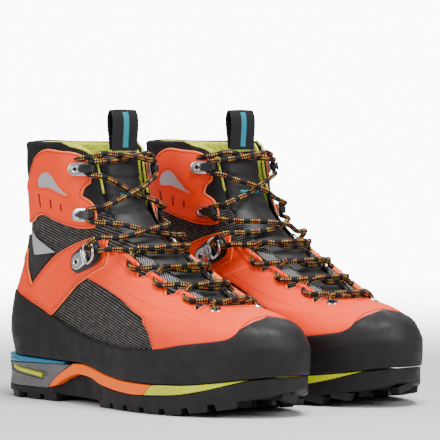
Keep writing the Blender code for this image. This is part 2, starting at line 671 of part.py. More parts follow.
def crossing(start, end, height):
    """Points that carry the lace over the throat's edges and the tongue between two turns."""
    (va, za), (vb, zb) = nearest_place(start), nearest_place(end)
    made = []
    inner_a = np.sign(va) * min(CROSS_AT, 0.35 * abs(va))
    inner_b = np.sign(vb) * min(CROSS_AT, 0.35 * abs(vb))
    for v, h in ((0.66 * va, EDGE_RISE), (inner_a, height), (inner_b, height), (0.66 * vb, EDGE_RISE)):
        z = za + (zb - za) * (v - va) / (vb - va)
        made.append(tuple(place(from_front(v, z), z, h)))
    return made


def lace_route():
    """The whole lace: down one strand from its end, across the toe, and up the other."""
    outer, inner = turns(1), turns(-1)
    strands = []
    for first in (0, 1):
        route = []
        for level in range(len(outer)):
            here = (outer, inner)[(first + level) % 2][level]
            if route:
                height = OVER if (first + level) % 2 else UNDER
                if level == 1:
                    height += TOE_RISE
                route += crossing(route[-1], here[0], height)
            route += here
        side = 1 if here is outer[-1] else -1
        end = [place(from_front(-side * v, z), z, h) for v, z, h in
               ((22, 192, 4.8), (31, 192.5, 5.4), (41, 193, 5.6))]
        route += crossing(route[-1], end[0], UNDER if first else OVER)
        route += [tuple(p) for p in end]
        strands.append(route)
    toe = [place(from_front(v, 76.9), 76.9, LACE_REST + 1.1) for v in (8, -8)]
    down = strands[0][::-1]
    return down[:-1] + [tuple(p) for p in toe] + strands[1][1:]


def lace():
    route = lace_route()
    for word, boot in BOOTS.items():
        curve = bpy.data.curves.new(f"{word}_lace", "CURVE")
        curve.dimensions = "3D"
        curve.bevel_depth = LACE_RADIUS * MM
        curve.bevel_resolution = 2
        curve.use_fill_caps = True
        spline = curve.splines.new("POLY")
        spline.points.add(len(route) - 1)
        for point, spot in zip(spline.points, route):
            point.co = (*(to_world(spot, boot) - EMPTIES[word].location), 1)
        curve.materials.append(material("lace_cord"))
        item = bpy.data.objects.new(f"{word}_lace", curve)
        PARTS.objects.link(item)
        item.parent = EMPTIES[word]


# ---------------------------------------------------------------- the pair
clear_scene()
PARTS = new_collection("mountaineering_boots")
CUTTERS = new_collection("cutters")
EMPTIES = {}
for word, boot in BOOTS.items():
    EMPTIES[word] = bpy.data.objects.new(f"{word}_boot", None)
    EMPTIES[word].location = to_world((MIDDLE, 0, 0), boot)
    PARTS.objects.link(EMPTIES[word])
outsole()
heel_block()
heel_insert()
crampon_ledge()
arch_midsole()
forefoot_midsole()
inner_sole("insole_board", -5.0, 1.7, 2.0, "board_fibre")
inner_sole("footbed", -10.0, 5.6, 4.0, "black_softshell")
upper_walls()
overlays()
pull_loop()
hardware()
lace()
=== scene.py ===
from math import atan2, cos, pi, radians, sin

import bmesh
import bpy
import numpy as np
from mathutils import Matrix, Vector
from mathutils.geometry import delaunay_2d_cdt


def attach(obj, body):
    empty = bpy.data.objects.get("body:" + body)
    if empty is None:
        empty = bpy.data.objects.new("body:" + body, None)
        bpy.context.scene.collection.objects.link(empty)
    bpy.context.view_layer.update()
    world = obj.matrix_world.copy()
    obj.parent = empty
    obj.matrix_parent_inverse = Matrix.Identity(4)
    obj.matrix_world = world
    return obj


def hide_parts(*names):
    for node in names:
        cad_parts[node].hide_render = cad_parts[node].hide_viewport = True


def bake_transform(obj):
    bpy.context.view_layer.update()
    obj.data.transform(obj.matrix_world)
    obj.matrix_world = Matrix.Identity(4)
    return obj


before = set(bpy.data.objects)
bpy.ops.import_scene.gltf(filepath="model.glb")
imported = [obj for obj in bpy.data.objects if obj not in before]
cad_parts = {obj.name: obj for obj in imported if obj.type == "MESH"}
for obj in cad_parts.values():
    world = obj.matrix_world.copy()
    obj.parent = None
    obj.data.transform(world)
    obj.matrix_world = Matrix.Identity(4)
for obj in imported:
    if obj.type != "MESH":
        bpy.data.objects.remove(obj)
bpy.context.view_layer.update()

# ---------------------------------------------------------------- the view
# A long lens looks at the pair from the front quarter, almost level with the ground.
# The floor is plain and pale, and it fades into the light surround with distance.
AIM = Vector((0.0032, 0.0026, 0.1421))
LENS_MM = 248.2
STAND_OFF = 2.4
ROUND_BY, UP_BY = radians(46.5), radians(1.86)


def put(name, data):
    """A new object in the scene, at the origin."""
    item = bpy.data.objects.new(name, data)
    bpy.context.scene.collection.objects.link(item)
    return item


eye = put("view", bpy.data.cameras.new("view"))
eye.data.lens = LENS_MM
eye.data.sensor_width = 36.0
eye.data.clip_end = 60.0
away = Vector((sin(ROUND_BY) * cos(UP_BY), -cos(ROUND_BY) * cos(UP_BY), sin(UP_BY)))
eye.location = AIM + away * STAND_OFF
eye.rotation_euler = away.to_track_quat("Z", "Y").to_euler()
bpy.context.scene.camera = eye


def soft_light(name, size, power, spot):
    lamp = bpy.data.lights.new(name, "AREA")
    lamp.shape = "DISK"
    lamp.size = size
    lamp.energy = power
    item = put(name, lamp)
    item.location = spot
    item.rotation_euler = (Vector(spot) - AIM).to_track_quat("Z", "Y").to_euler()


soft_light("overhead_light", 1.0, 52, (0.55, -0.1, 1.7))
soft_light("toe_light", 0.8, 18, (1.9, 0.2, 1.0))
soft_light("side_light", 1.0, 22, (-0.2, -2.0, 0.9))
soft_light("rear_light", 1.2, 12, (-1.3, 1.4, 1.5))


def add(tree, kind, given=None, **settings):
    """A shader or geometry node whose inputs are filled from values or other nodes' outputs."""
    made = tree.nodes.new(kind)
    for key, value in settings.items():
        setattr(made, key, value)
    for key, value in (given or {}).items():
        if isinstance(value, bpy.types.NodeSocket):
            tree.links.new(value, made.inputs[key])
        else:
            made.inputs[key].default_value = value
    return made


def calc(tree, operation, a, b=0.0, c=0.0):
    return add(tree, "ShaderNodeMath", {0: a, 1: b, 2: c}, operation=operation).outputs[0]


def ramp(tree, value, low, high, from_value=0.0, to_value=1.0):
    """Carries a value from low..high over to from_value..to_value with soft ends."""
    given = {"Value": value, "From Min": low, "From Max": high, "To Min": from_value, "To Max": to_value}
    return add(tree, "ShaderNodeMapRange", given, interpolation_type="SMOOTHSTEP").outputs[0]


def blend_colours(tree, amount, first, second):
    """The first colour where the amount is 0 and the second where it is 1."""
    made = add(tree, "ShaderNodeMix", data_type="RGBA")
    for key, value in ((0, amount), (6, first), (7, second)):
        if isinstance(value, bpy.types.NodeSocket):
            tree.links.new(value, made.inputs[key])
        elif key == 0:
            made.inputs[key].default_value = value
        else:
            made.inputs[key].default_value = (*value, 1.0)
    return made.outputs[2]


SEEN_LIGHT, FILL_LIGHT = 12.0, 0.5         # the surround's strength, as seen and as it lights
FADE_FROM, FADE_TO = 0.35, 1.9             # where the floor starts and ends to fade, in metres
FLOOR_RADIUS = 4.0
surround = bpy.data.worlds.new("pale_surround")
surround.use_nodes = True
tree = surround.node_tree
tree.nodes["Background"].inputs["Color"].default_value = (0.93, 0.925, 0.94, 1)
seen = add(tree, "ShaderNodeLightPath").outputs["Is Camera Ray"]
tree.links.new(calc(tree, "MULTIPLY_ADD", seen, SEEN_LIGHT - FILL_LIGHT, FILL_LIGHT),
               tree.nodes["Background"].inputs["Strength"])
bpy.context.scene.world = surround

floor_finish = bpy.data.materials.new("pale_floor")
floor_finish.use_nodes = True
tree = floor_finish.node_tree
tree.nodes["Principled BSDF"].inputs["Base Color"].default_value = (0.66, 0.65, 0.665, 1)
tree.nodes["Principled BSDF"].inputs["Roughness"].default_value = 0.9
reach = add(tree, "ShaderNodeVectorMath", {0: add(tree, "ShaderNodeTexCoord").outputs["Object"]},
            operation="LENGTH").outputs["Value"]
clear = add(tree, "ShaderNodeBsdfTransparent").outputs[0]
fading = add(tree, "ShaderNodeMixShader", {0: ramp(tree, reach, FADE_FROM, FADE_TO),
                                           1: tree.nodes["Principled BSDF"].outputs[0], 2: clear})
tree.links.new(fading.outputs[0], tree.nodes["Material Output"].inputs["Surface"])
ground = bmesh.new()
bmesh.ops.create_circle(ground, cap_ends=True, radius=FLOOR_RADIUS, segments=96)
mesh = bpy.data.meshes.new("pale_floor")
ground.to_mesh(mesh)
ground.free()
mesh.materials.append(floor_finish)
put("pale_floor", mesh)

# ---------------------------------------------------------------- the outsole
# Black rubber tread: a thin base that wraps up at the toe, and separate lugs below it.
# It is moulded in one and cemented under the midsole; its shape follows the last above it.
MM = 0.001
BOOTS = {"right": -1, "left": 1}
SPACING = 128.0            # between the two boots' centre lines
MIDDLE = 149.2             # x of the pair's middle, which is the frame's origin
GAP = 0.4                  # clearance between pieces that touch


def smooth(*pairs):
    """A function through (key, value) pairs that never overshoots them."""
    key, value = (np.array(column, float) for column in zip(*pairs))
    step = np.diff(key)
    slope = np.diff(value) / step
    tangent = np.zeros(len(key))
    tangent[0], tangent[-1] = slope[0], slope[-1]
    for i in range(1, len(key) - 1):
        if slope[i - 1] * slope[i] > 0:
            a = 2 * step[i] + step[i - 1]
            b = step[i] + 2 * step[i - 1]
            tangent[i] = (a + b) / (a / slope[i - 1] + b / slope[i])

    def read(x):
        x = np.clip(np.asarray(x, float), key[0], key[-1])
        i = np.clip(np.searchsorted(key, x) - 1, 0, len(key) - 2)
        t = (x - key[i]) / step[i]
        return ((1 + 2 * t) * (1 - t) ** 2 * value[i] + t * (1 - t) ** 2 * step[i] * tangent[i]
                + t * t * (3 - 2 * t) * value[i + 1] + t * t * (t - 1) * step[i] * tangent[i + 1])
    return read


# the last: its back and front ends, end roundings and half widths, in millimetres
BACK = smooth((20, 2), (36, 1), (58, -2), (82, 2), (108, 11), (133, 16), (156, 17), (182, 14), (205, 11))
FRONT = smooth((16, 298), (30, 300), (48, 301), (60, 296), (70, 277), (76, 252), (86, 227), (100, 202),
               (117, 175), (134, 150), (148, 135), (162, 126), (185, 119), (205, 116))
HEEL_ROUND = smooth((20, 38), (60, 38), (114, 42), (151, 50), (205, 54))
TOE_ROUND = smooth((16, 78), (50, 76), (67, 88), (83, 100), (110, 90), (140, 56), (169, 40), (205, 40))
OUTER = smooth((0, 33), (40, 36), (90, 38), (140, 44), (200, 53), (235, 52), (270, 47), (300, 40))
INNER = smooth((0, 33), (40, 35), (90, 34), (140, 38), (200, 48), (230, 49), (265, 45), (300, 38))
SPINE = smooth((0, 0), (60, 0), (140, -1), (200, -1), (240, 1), (300, 3))
FULL = smooth((16, 1.01), (38, 1.03), (60, 1.02), (83, 0.99), (108, 0.96), (133, 0.97), (159, 1.06),
              (190, 1.14), (205, 1.16))
HEIGHTS = np.arange(14.0, 212.0, 0.5)
SHARES = np.linspace(-1, 1, 481)


def last_surface():
    """Where each share of the way round lies at each height, and the outer half's girth there."""
    grid = np.zeros((len(HEIGHTS), len(SHARES), 3))
    girths = np.zeros(len(HEIGHTS))
    turn = np.linspace(0, pi / 2, 60)
    for row, z in enumerate(HEIGHTS):
        back, front = float(BACK(z)), float(FRONT(z))
        heel, toe = float(HEEL_ROUND(z)), float(TOE_ROUND(z))
        fit = min(1.0, (front - back) / (heel + toe + 0.001))
        heel, toe = heel * fit, toe * fit
        straight = np.linspace(back + heel, front - toe, 40)[1:-1]
        x = np.concatenate([back + heel * (1 - np.cos(turn)), straight, front - toe * (1 - np.sin(turn))])
        round_off = np.concatenate([np.sin(turn), np.ones(len(straight)), np.cos(turn)])
        for side, half_width in ((1, OUTER), (-1, INNER)):
            y = -SPINE(x) + side * half_width(x) * FULL(z) * round_off
            run = np.concatenate([[0], np.cumsum(np.hypot(np.diff(x), np.diff(y)))])
            if side > 0:
                girths[row] = run[-1]
            here = SHARES * side >= 0
            reach = np.abs(SHARES[here]) * run[-1]
            grid[row, here, 0] = np.interp(reach, run, x)
            grid[row, here, 1] = np.interp(reach, run, y)
        grid[row, :, 2] = z
    return grid, girths


SURFACE, GIRTHS = last_surface()


def on_last(t, z):
    """Points on the last; t runs from 0 at the back seam to 1 or -1 at the front centre line."""
    t, z = np.broadcast_arrays(np.asarray(t, float), np.asarray(z, float))
    a = np.clip((z - HEIGHTS[0]) * 2, 0, len(HEIGHTS) - 1.001)
    b = ((t + 1) % 2) * (len(SHARES) - 1) / 2
    i, j = a.astype(int), np.minimum(b.astype(int), len(SHARES) - 2)
    fa, fb = (a - i)[..., None], (b - j)[..., None]
    low = (1 - fb) * SURFACE[i, j] + fb * SURFACE[i, j + 1]
    high = (1 - fb) * SURFACE[i + 1, j] + fb * SURFACE[i + 1, j + 1]
    found = (1 - fa) * low + fa * high
    found[..., 2] = z
    return found


def axes_at(t, z):
    """The last's directions at places: round towards +t, up the wall, and straight out."""
    along = on_last(np.asarray(t) + 0.01, z) - on_last(np.asarray(t) - 0.01, z)
    up = on_last(t, np.asarray(z) + 1) - on_last(t, np.asarray(z) - 1)
    out = np.cross(up, along)
    out /= np.linalg.norm(out, axis=-1, keepdims=True)
    along /= np.linalg.norm(along, axis=-1, keepdims=True)
    return along, np.cross(along, out), out


def place(t, z, h):
    return on_last(t, z) + axes_at(t, z)[2] * np.asarray(h, float)[..., None]


def from_back(w, z):
    """Share of a point w millimetres round from the back seam."""
    return np.asarray(w, float) / np.interp(z, HEIGHTS, GIRTHS)


def from_front(v, z):
    """Share of a point v millimetres round from the front centre line."""
    v = np.asarray(v, float)
    return np.where(v >= 0, 1.0, -1.0) * (1 - np.abs(v) / np.interp(z, HEIGHTS, GIRTHS))


def to_world(points, boot):
    """Metres in the pair's frame from millimetres in one boot's frame."""
    points = np.asarray(points, float)
    moved = points * MM
    moved[..., 0] = (points[..., 0] - MIDDLE) * MM
    moved[..., 1] = boot * (SPACING / 2 + points[..., 1]) * MM
    return moved


def new_finish(name, colour, roughness, **constants):
    """A material whose shader holds the values that are the same all over the surface."""
    made = bpy.data.materials.new(name)
    made.use_nodes = True
    shader = made.node_tree.nodes["Principled BSDF"]
    shader.inputs["Base Color"].default_value = (*colour, 1)
    shader.inputs["Roughness"].default_value = roughness
    for key, value in constants.items():
        shader.inputs[key.replace("_", " ").title().replace("Ior", "IOR")].default_value = value
    return made, made.node_tree, shader


def colour_by(tree, shader, amount, first, second):
    tree.links.new(blend_colours(tree, amount, first, second), shader.inputs["Base Color"])


def roughness_by(tree, shader, value, low, high, from_value, to_value):
    tree.links.new(ramp(tree, value, low, high, from_value, to_value), shader.inputs["Roughness"])


def bump(tree, shader, height, strength, depth_mm):
    made = add(tree, "ShaderNodeBump", {"Height": height, "Strength": strength, "Distance": depth_mm * MM})
    tree.links.new(made.outputs[0], shader.inputs["Normal"])


def in_millimetres(tree):
    spot = add(tree, "ShaderNodeTexCoord").outputs["Object"]
    return add(tree, "ShaderNodeVectorMath", {0: spot, "Scale": 1000.0}, operation="SCALE").outputs[0]


def grain(tree, spot, size_mm, detail=3.0, roughness=0.55):
    given = {"Vector": spot, "Scale": 1.0 / size_mm, "Detail": detail, "Roughness": roughness}
    return add(tree, "ShaderNodeTexNoise", given).outputs["Fac"]


def finish_mesh(name, spots, faces, finish, uv=None, values=None, sharp=None):
    """A smooth mesh with its material, its flat pattern, its point values and its sharp edges."""
    mesh = bpy.data.meshes.new(name)
    mesh.from_pydata(np.asarray(spots).tolist(), [], faces)
    if uv is not None:
        corner = np.zeros(len(mesh.loops), np.int32)
        mesh.loops.foreach_get("vertex_index", corner)
        mesh.uv_layers.new(name="pattern").data.foreach_set("uv", np.asarray(uv, np.float32)[corner].ravel())
    for key, value in (values or {}).items():
        kind, field = ("FLOAT", "value") if np.ndim(value) == 1 else ("FLOAT_VECTOR", "vector")
        attribute = mesh.attributes.new(key, kind, "POINT")
        attribute.data.foreach_set(field, np.asarray(value, np.float32).ravel())
    mesh.shade_smooth()
    if sharp:
        mesh.set_sharp_from_angle(angle=radians(sharp))
    mesh.materials.append(finish)
    return mesh


# what bends between two bodies: the bodies, and where the bend starts and ends
BENDS = {"ankle": ("lowers", "cuff", (75, 0, 102), (75, 0, 140)),
         "loop": ("cuff", "pull_loop", (110, 0, 201), (110, 0, 211))}


def on_both(name, spots, faces, finish, slot, body, nodes=(), **mesh_facts):
    """One piece of each boot, the right one mirrored; a piece on a body named in BENDS is baked in place and
    joined to no body.
    """
    made = []
    for word, boot in BOOTS.items():
        turned = [face[::-1] for face in faces] if boot < 0 else faces
        mesh = finish_mesh(f"{word}_{name}", to_world(spots, boot), turned, finish, **mesh_facts)
        item = put(f"{word}_{name}", mesh)
        if nodes:
            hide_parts(*(f"{word}_{node}" for node in nodes))
        if body in BENDS:
            below, above, *ends = BENDS[body]
            low, high = to_world(ends, boot)
            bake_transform(item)
        else:
            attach(item, body if body == "lowers" else f"{word}_{body}")
        made.append(item)
    return made


def closed(bm, merge=0.002):
    """Welded points and triangle or quad faces of a closed shape, turned outwards."""
    bmesh.ops.remove_doubles(bm, verts=bm.verts, dist=merge)
    bmesh.ops.dissolve_degenerate(bm, edges=bm.edges, dist=merge / 4)
    bmesh.ops.recalc_face_normals(bm, faces=bm.faces)
    bm.verts.index_update()
    spots = np.array([v.co[:] for v in bm.verts])
    faces = [[v.index for v in f.verts] for f in bm.faces]
    bm.free()
    return spots, faces


def loft(loops, band=False, merge=0.002):
    """A closed shape through loops of points; a band comes back to its first loop."""
    bm = bmesh.new()
    rings = [[bm.verts.new(p) for p in loop] for loop in loops]
    for ring, after in zip(rings, rings[1:] + rings[:band]):
        for k in range(len(ring)):
            n = (k + 1) % len(ring)
            bm.faces.new((ring[k], ring[n], after[n], after[k]))
    if not band:
        bm.faces.new(rings[0])
        bm.faces.new(rings[-1][::-1])
    return closed(bm, merge)


PLAN_LEVEL = 30.0          # the height at which the sole's outline is taken


def plan(share, outset):
    """The boot's outline seen from above, moved outwards by outset, at shares of the way round."""
    spot = on_last(share, PLAN_LEVEL)
    out = axes_at(share, PLAN_LEVEL)[2][..., :2]
    out /= np.linalg.norm(out, axis=-1, keepdims=True)
    return spot[..., :2] + out * np.asarray(outset)[..., None], out


HEEL_OUTSET = smooth((-12, 8.5), (4, 7.5), (28, 4.0), (45, 3.2), (305, 3.2))
ACROSS = np.linspace(0, 1, 7)[1:-1]


def sole_layer(low, high, ends, outset=HEEL_OUTSET, corner=0.8, rows=14, carve=None):
    """A layer of the sole between two side-view lines, with rounded edges and carved walls."""
    shares = np.linspace(0, 1, 341)
    shares -= 0.12 * np.sin(2 * pi * shares) / (2 * pi)
    rough = plan(shares, 0 * shares + 3.2)[0][:, 0]
    kept = shares[(rough >= ends[0]) & (rough <= ends[1])]
    up = np.linspace(0, 1, rows) - 0.13 * np.sin(2 * pi * np.linspace(0, 1, rows)) / 1.3
    walls = {}
    for side in (1, -1):
        base, out = plan(kept * side, outset(plan(kept * side, 0 * kept)[0][:, 0]))
        bottom, top = low(base[:, 0]), np.maximum(high(base[:, 0]), low(base[:, 0]) + 0.06)
        z = bottom[:, None] + (top - bottom)[:, None] * up
        edge = np.minimum(np.minimum(z - bottom[:, None], top[:, None] - z), corner)
        inset = corner - np.sqrt(np.maximum(corner ** 2 - (corner - edge) ** 2, 0))
        x = np.repeat(base[:, :1], rows, axis=1)
        if carve:
            inset = inset + carve(x, z, side)
        spot = base[:, None, :] - out[:, None, :] * inset[..., None]
        walls[side] = np.concatenate([spot, z[..., None]], axis=2)
    loops = []
    for outer, inner in zip(walls[1], walls[-1]):
        over = [outer[-1] + (inner[-1] - outer[-1]) * f for f in ACROSS]
        under = [inner[0] + (outer[0] - inner[0]) * f for f in ACROSS]
        loops.append(list(outer) + over + list(inner[::-1]) + under)
    return loft(loops)


GROUND = smooth((-14, 2.2), (-6, 0.5), (2, 0), (215, 0), (233, 1.6), (258, 5.2), (279, 8.5), (296, 12.5),
                (301, 17))
ARCH_UNDER = smooth((79, 12.7), (91, 18.5), (110, 23.5), (125, 22.5), (142, 17.5), (164, 14.5),
                    (186, 13.5), (199, 14))
WEDGE_UNDER = smooth((200, 14.0), (232, 16), (252, 19.5), (272, 25), (282, 28.2))
TREAD_TOP = smooth((-14, 9.7), (68, 10.0), (79, 12.3), (91, 18.1), (110, 23.1), (125, 22.1), (142, 17.1),
                   (164, 14.1), (199, 13.6), (232, 15.6), (252, 19.1), (272, 24.6), (282, 27.8),
                   (288, 28.9), (305, 31.2))
TREAD_BASE = smooth((-14, 5.4), (60, 4.6), (84, 5), (138, 4.4), (150, 4.6), (215, 4.6), (233, 5.6),
                    (258, 9.5), (279, 13), (296, 17.5), (301, 21))
TREAD_OUTSET = smooth((-12, 8.3), (4, 7.3), (28, 3.8), (45, 3.0), (72, 3.0), (82, -2.0), (110, -3.5),
                      (134, -1.5), (146, 2.6), (180, 3.0), (305, 3.0))

rubber, tree, shader = new_finish("moulded_black_rubber", (0.009, 0.008, 0.0085), 0.62,
                                  specular_ior_level=0.28)
spot = in_millimetres(tree)
dust = ramp(tree, grain(tree, spot, 26.0, 4.0), 0.45, 0.75)
colour_by(tree, shader, calc(tree, "MULTIPLY", dust, 0.35), (0.0065, 0.0055, 0.006), (0.015, 0.013, 0.014))
roughness_by(tree, shader, grain(tree, spot, 9.0), 0.3, 0.7, 0.50, 0.68)
bump(tree, shader, grain(tree, spot, 0.55, 2.0), 0.35, 0.12)

spots, faces = sole_layer(TREAD_BASE, TREAD_TOP, (-20, 320), TREAD_OUTSET, 0.6)
on_both("outsole_rubber", spots, faces, rubber, "black_rubber", "lowers", ["outsole"], sharp=50)


LUG_TAPER, LUG_EDGE = 0.86, 0.8 * MM


def chamfered_lug(size):
    """A block that narrows downwards, with chamfered edges; its top is at z = 0."""
    bm = bmesh.new()
    bmesh.ops.create_cube(bm, size=1)
    for v in bm.verts:
        shrink = LUG_TAPER if v.co.z < 0 else 1.0
        v.co = Vector((v.co.x * size[0] * shrink, v.co.y * size[1] * shrink, (v.co.z - 0.5) * size[2]))
    bmesh.ops.bevel(bm, geom=bm.edges[:], offset=LUG_EDGE, segments=2, profile=0.6, affect="EDGES")
    return bm


def geometry_tree(name, **inputs):
    """An empty geometry tree with named inputs, and its input node."""
    tree = bpy.data.node_groups.new(name, "GeometryNodeTree")
    for key, kind in {"Geometry": "Geometry", **inputs}.items():
        tree.interface.new_socket(key, in_out="INPUT", socket_type=f"NodeSocket{kind}")
    tree.interface.new_socket("Geometry", in_out="OUTPUT", socket_type="NodeSocketGeometry")
    return tree, add(tree, "NodeGroupInput").outputs


def point_value(tree, name):
    named = add(tree, "GeometryNodeInputNamedAttribute", {"Name": name}, data_type="FLOAT_VECTOR")
    return named.outputs[0]


def set_on_points(tree, points, shape, rotation, scale, finish):
    """Sets a shape on every point, makes the copies real, and ends the tree with their material."""
    given = {"Points": points, "Instance": shape, "Rotation": rotation, "Scale": scale}
    set_on = add(tree, "GeometryNodeInstanceOnPoints", given)
    real = add(tree, "GeometryNodeRealizeInstances", {0: set_on.outputs[0]})
    coated = add(tree, "GeometryNodeSetMaterial", {"Geometry": real.outputs[0], "Material": finish})
    add(tree, "NodeGroupOutput", {0: coated.outputs[0]})
    return tree


def lug_tree():
    """Sets one lug at each point, turned and stretched as its point says."""
    tree, given = geometry_tree("lugs", Lug="Object", Finish="Material")
    shape = add(tree, "GeometryNodeObjectInfo", {"Object": given["Lug"]}).outputs["Geometry"]
    turned = add(tree, "FunctionNodeEulerToRotation", {0: point_value(tree, "turn")}).outputs[0]
    stretch = point_value(tree, "stretch")
    return set_on_points(tree, given["Geometry"], shape, turned, stretch, given["Finish"])


def baked(name, mesh, tree, inputs, body):
    """The plain mesh that a geometry tree makes of a source mesh, as a piece of its own."""
    source = put("source", mesh)
    worker = source.modifiers.new("made", "NODES")
    worker.node_group = tree
    sockets = {s.name: s.identifier for s in tree.interface.items_tree if s.in_out == "INPUT"}
    for key, value in inputs.items():
        worker[sockets[key]] = value
    bpy.context.view_layer.update()
    seen = source.evaluated_get(bpy.context.evaluated_depsgraph_get())
    mesh = bpy.data.meshes.new_from_object(seen)
    bpy.data.objects.remove(source, do_unlink=True)
    mesh.name = name
    mesh.shade_smooth()
    item = put(name, mesh)
    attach(item, body)
    return item


HALF_SHARES = SHARES[240:]
HALF_PLAN = plan(HALF_SHARES, 0 * HALF_SHARES)[0][:, 0]


def share_at(x):
    """Share of the way round at which the sole's outline is x from the heel."""
    return np.interp(x, HALF_PLAN, HALF_SHARES)


LUG_SIZE = (17.5 * MM, 12.5 * MM, 6.4 * MM)
LUG_SUNK = 1.8             # how far a lug's root goes into the base
LUG_INSET = 6.2            # from the base's edge to the middle of an edge lug
EDGE_LUGS_AT = (2, 26, 50, 71, 146, 166, 187, 208, 229, 249, 268)
CHEVRONS_AT = (14, 38, 60, 156, 177, 198, 219, 240, 260)
TOE_LUG = (292.0, -2.0, pi / 2, 1.0, 0.9)
HEEL_LUG = (-3.0, 0.0, pi / 2, 1.1, 0.8)


def tread_points():
    """Each lug's place, turn, width and depth: a row round the edge, and chevrons between."""
    rows = []
    for side in (1, -1):
        for x in EDGE_LUGS_AT:
            base, out = plan(side * share_at(x), float(TREAD_OUTSET(x)) - LUG_INSET)
            rows.append((base[0], base[1], atan2(out[1], out[0]) - pi / 2, 1.0, 1.0))
    for x in CHEVRONS_AT:
        for side in (1, -1):
            rows.append((x, side * 12.0, side * radians(24), 0.8, 0.9))
    return rows + [TOE_LUG, HEEL_LUG]


for word, boot in BOOTS.items():
    lug = bpy.data.meshes.new("lug")
    shape = chamfered_lug(LUG_SIZE)
    shape.to_mesh(lug)
    shape.free()
    template = put("lug", lug)
    rows = tread_points()
    spots = [(x, y, float(TREAD_BASE(x)) + LUG_SUNK) for x, y, *_ in rows]
    turns_round = []
    for x, y, turn, *_ in rows:
        rise = atan2(float(GROUND(x + 4) - GROUND(x - 4)), 8.0)
        turns_round.append((0.0, -rise, boot * turn))
    stretches = [(wide, deep, 1.0) for *_, wide, deep in rows]
    mesh = finish_mesh("lug_points", to_world(spots, boot), [], rubber,
                       values={"turn": np.array(turns_round), "stretch": np.array(stretches)})
    lugs = baked(f"{word}_tread_lugs", mesh, lug_tree(), {"Lug": template, "Finish": rubber},
                 "lowers")
    lugs.data.set_sharp_from_angle(angle=radians(40))
    bpy.data.objects.remove(template, do_unlink=True)

# ---------------------------------------------------------------- the heel frame and its damping bar
# Grey moulded urethane under the heel, flared at the back, with a slanted pocket in each side.
# A lime bar is pressed into the pocket, and fine ribs stand along the lower edge behind it.
SOLE_JOIN = smooth((68.5, 10.3), (74, 16), (85, 23), (101, 31.4))
BAR_LEFT, BAR_RIGHT = (16.0, 24.4), (60.0, 19.4)
grey_urethane, tree, shader = new_finish("grey_urethane", (0.10, 0.10, 0.105), 0.5)
spot = in_millimetres(tree)
roughness_by(tree, shader, grain(tree, spot, 6.0), 0.3, 0.7, 0.42, 0.58)
speck = ramp(tree, grain(tree, spot, 14.0, 4.0), 0.4, 0.7)
colour_by(tree, shader, calc(tree, "MULTIPLY", speck, 0.5), (0.085, 0.085, 0.09), (0.13, 0.125, 0.125))
bump(tree, shader, grain(tree, spot, 0.4, 2.0), 0.25, 0.08)


def beside_line(a, b, start, end):
    """Distance of flat points from a straight line between two ends."""
    run = np.array(end, float) - start
    f = np.clip(((a - start[0]) * run[0] + (b - start[1]) * run[1]) / (run @ run), 0, 1)
    return np.hypot(a - start[0] - run[0] * f, b - start[1] - run[1] * f)


def heel_carving(x, z, side):
    depth = 1.8 * np.clip((3.3 - beside_line(x, z, (12.0, 24.6), BAR_RIGHT)) / 0.5, 0, 1)
    depth += 1.3 * np.clip((2.6 - beside_line(x, z, (40.0, 26.5), (66.0, 21.5))) / 2.2, 0, 1)
    ribs = (np.abs((x + 8) % 4.6 - 2.3) < 0.65) & (x < 14) & (z > 12.4) & (z < 16.2)
    belly = 1.1 * np.sin(np.clip((z - 10) / 18, 0, 1) * pi)
    return depth + 0.6 * ribs + belly


def heel_low(x):
    return np.where(x < 68.1, 10.1, SOLE_JOIN(x + GAP) + 0.1)


spots, faces = sole_layer(heel_low, smooth((-14, 28), (20, 28.1), (46, 28.7), (85, 29.9), (98, 30.1)),
                          (-20, 97.6), rows=56, carve=heel_carving)
on_both("heel_block", spots, faces, grey_urethane, "grey_urethane", "lowers", ["heel_frame"], sharp=40)

lime_urethane, tree, shader = new_finish("lime_urethane", (0.52, 0.58, 0.0), 0.45)
spot = in_millimetres(tree)
colour_by(tree, shader, grain(tree, spot, 8.0), (0.46, 0.50, 0.0), (0.60, 0.64, 0.0))
bump(tree, shader, grain(tree, spot, 0.5, 2.0), 0.3, 0.1)
bar_loops = []
for x in np.linspace(BAR_LEFT[0], BAR_RIGHT[0], 40):
    z = BAR_LEFT[1] + (BAR_RIGHT[1] - BAR_LEFT[1]) * (x - BAR_LEFT[0]) / (BAR_RIGHT[0] - BAR_LEFT[0])
    ends = [plan(side * share_at(x), float(HEEL_OUTSET(x)) - 0.7)[0][1] for side in (-1, 1)]
    ease = min(1.0, (x - BAR_LEFT[0]) / 1.2 + 0.55, (BAR_RIGHT[0] - x) / 1.2 + 0.55)
    section = []
    for a in np.linspace(0, 2 * pi, 25)[:-1]:
        wide = np.sign(cos(a)) * abs(cos(a)) ** 0.12
        tall = np.sign(sin(a)) * abs(sin(a)) ** 0.45
        section.append((x, ends[0] + (ends[1] - ends[0]) * (wide + 1) / 2, z + 2.0 * ease * tall))
    bar_loops.append(section)
spots, faces = loft(bar_loops)
on_both("damping_bar", spots, faces, lime_urethane, "lime_urethane", "lowers", ["heel_insert"], sharp=40)

# ---------------------------------------------------------------- the crampon ledge
# Teal urethane shelf over the heel frame, with a raised lip at the back for a crampon's lever.
# It is thick and bright at the heel and runs out to a thin line under the arch.
teal_urethane, tree, shader = new_finish("teal_urethane", (0.0, 0.17, 0.28), 0.42)
spot = in_millimetres(tree)
backness = ramp(tree, add(tree, "ShaderNodeSeparateXYZ", {0: spot}).outputs[0], -156.0, -112.0)
colour_by(tree, shader, backness, (0.02, 0.36, 0.50), (0.0, 0.13, 0.24))
bump(tree, shader, grain(tree, spot, 0.5, 2.0), 0.2, 0.08)


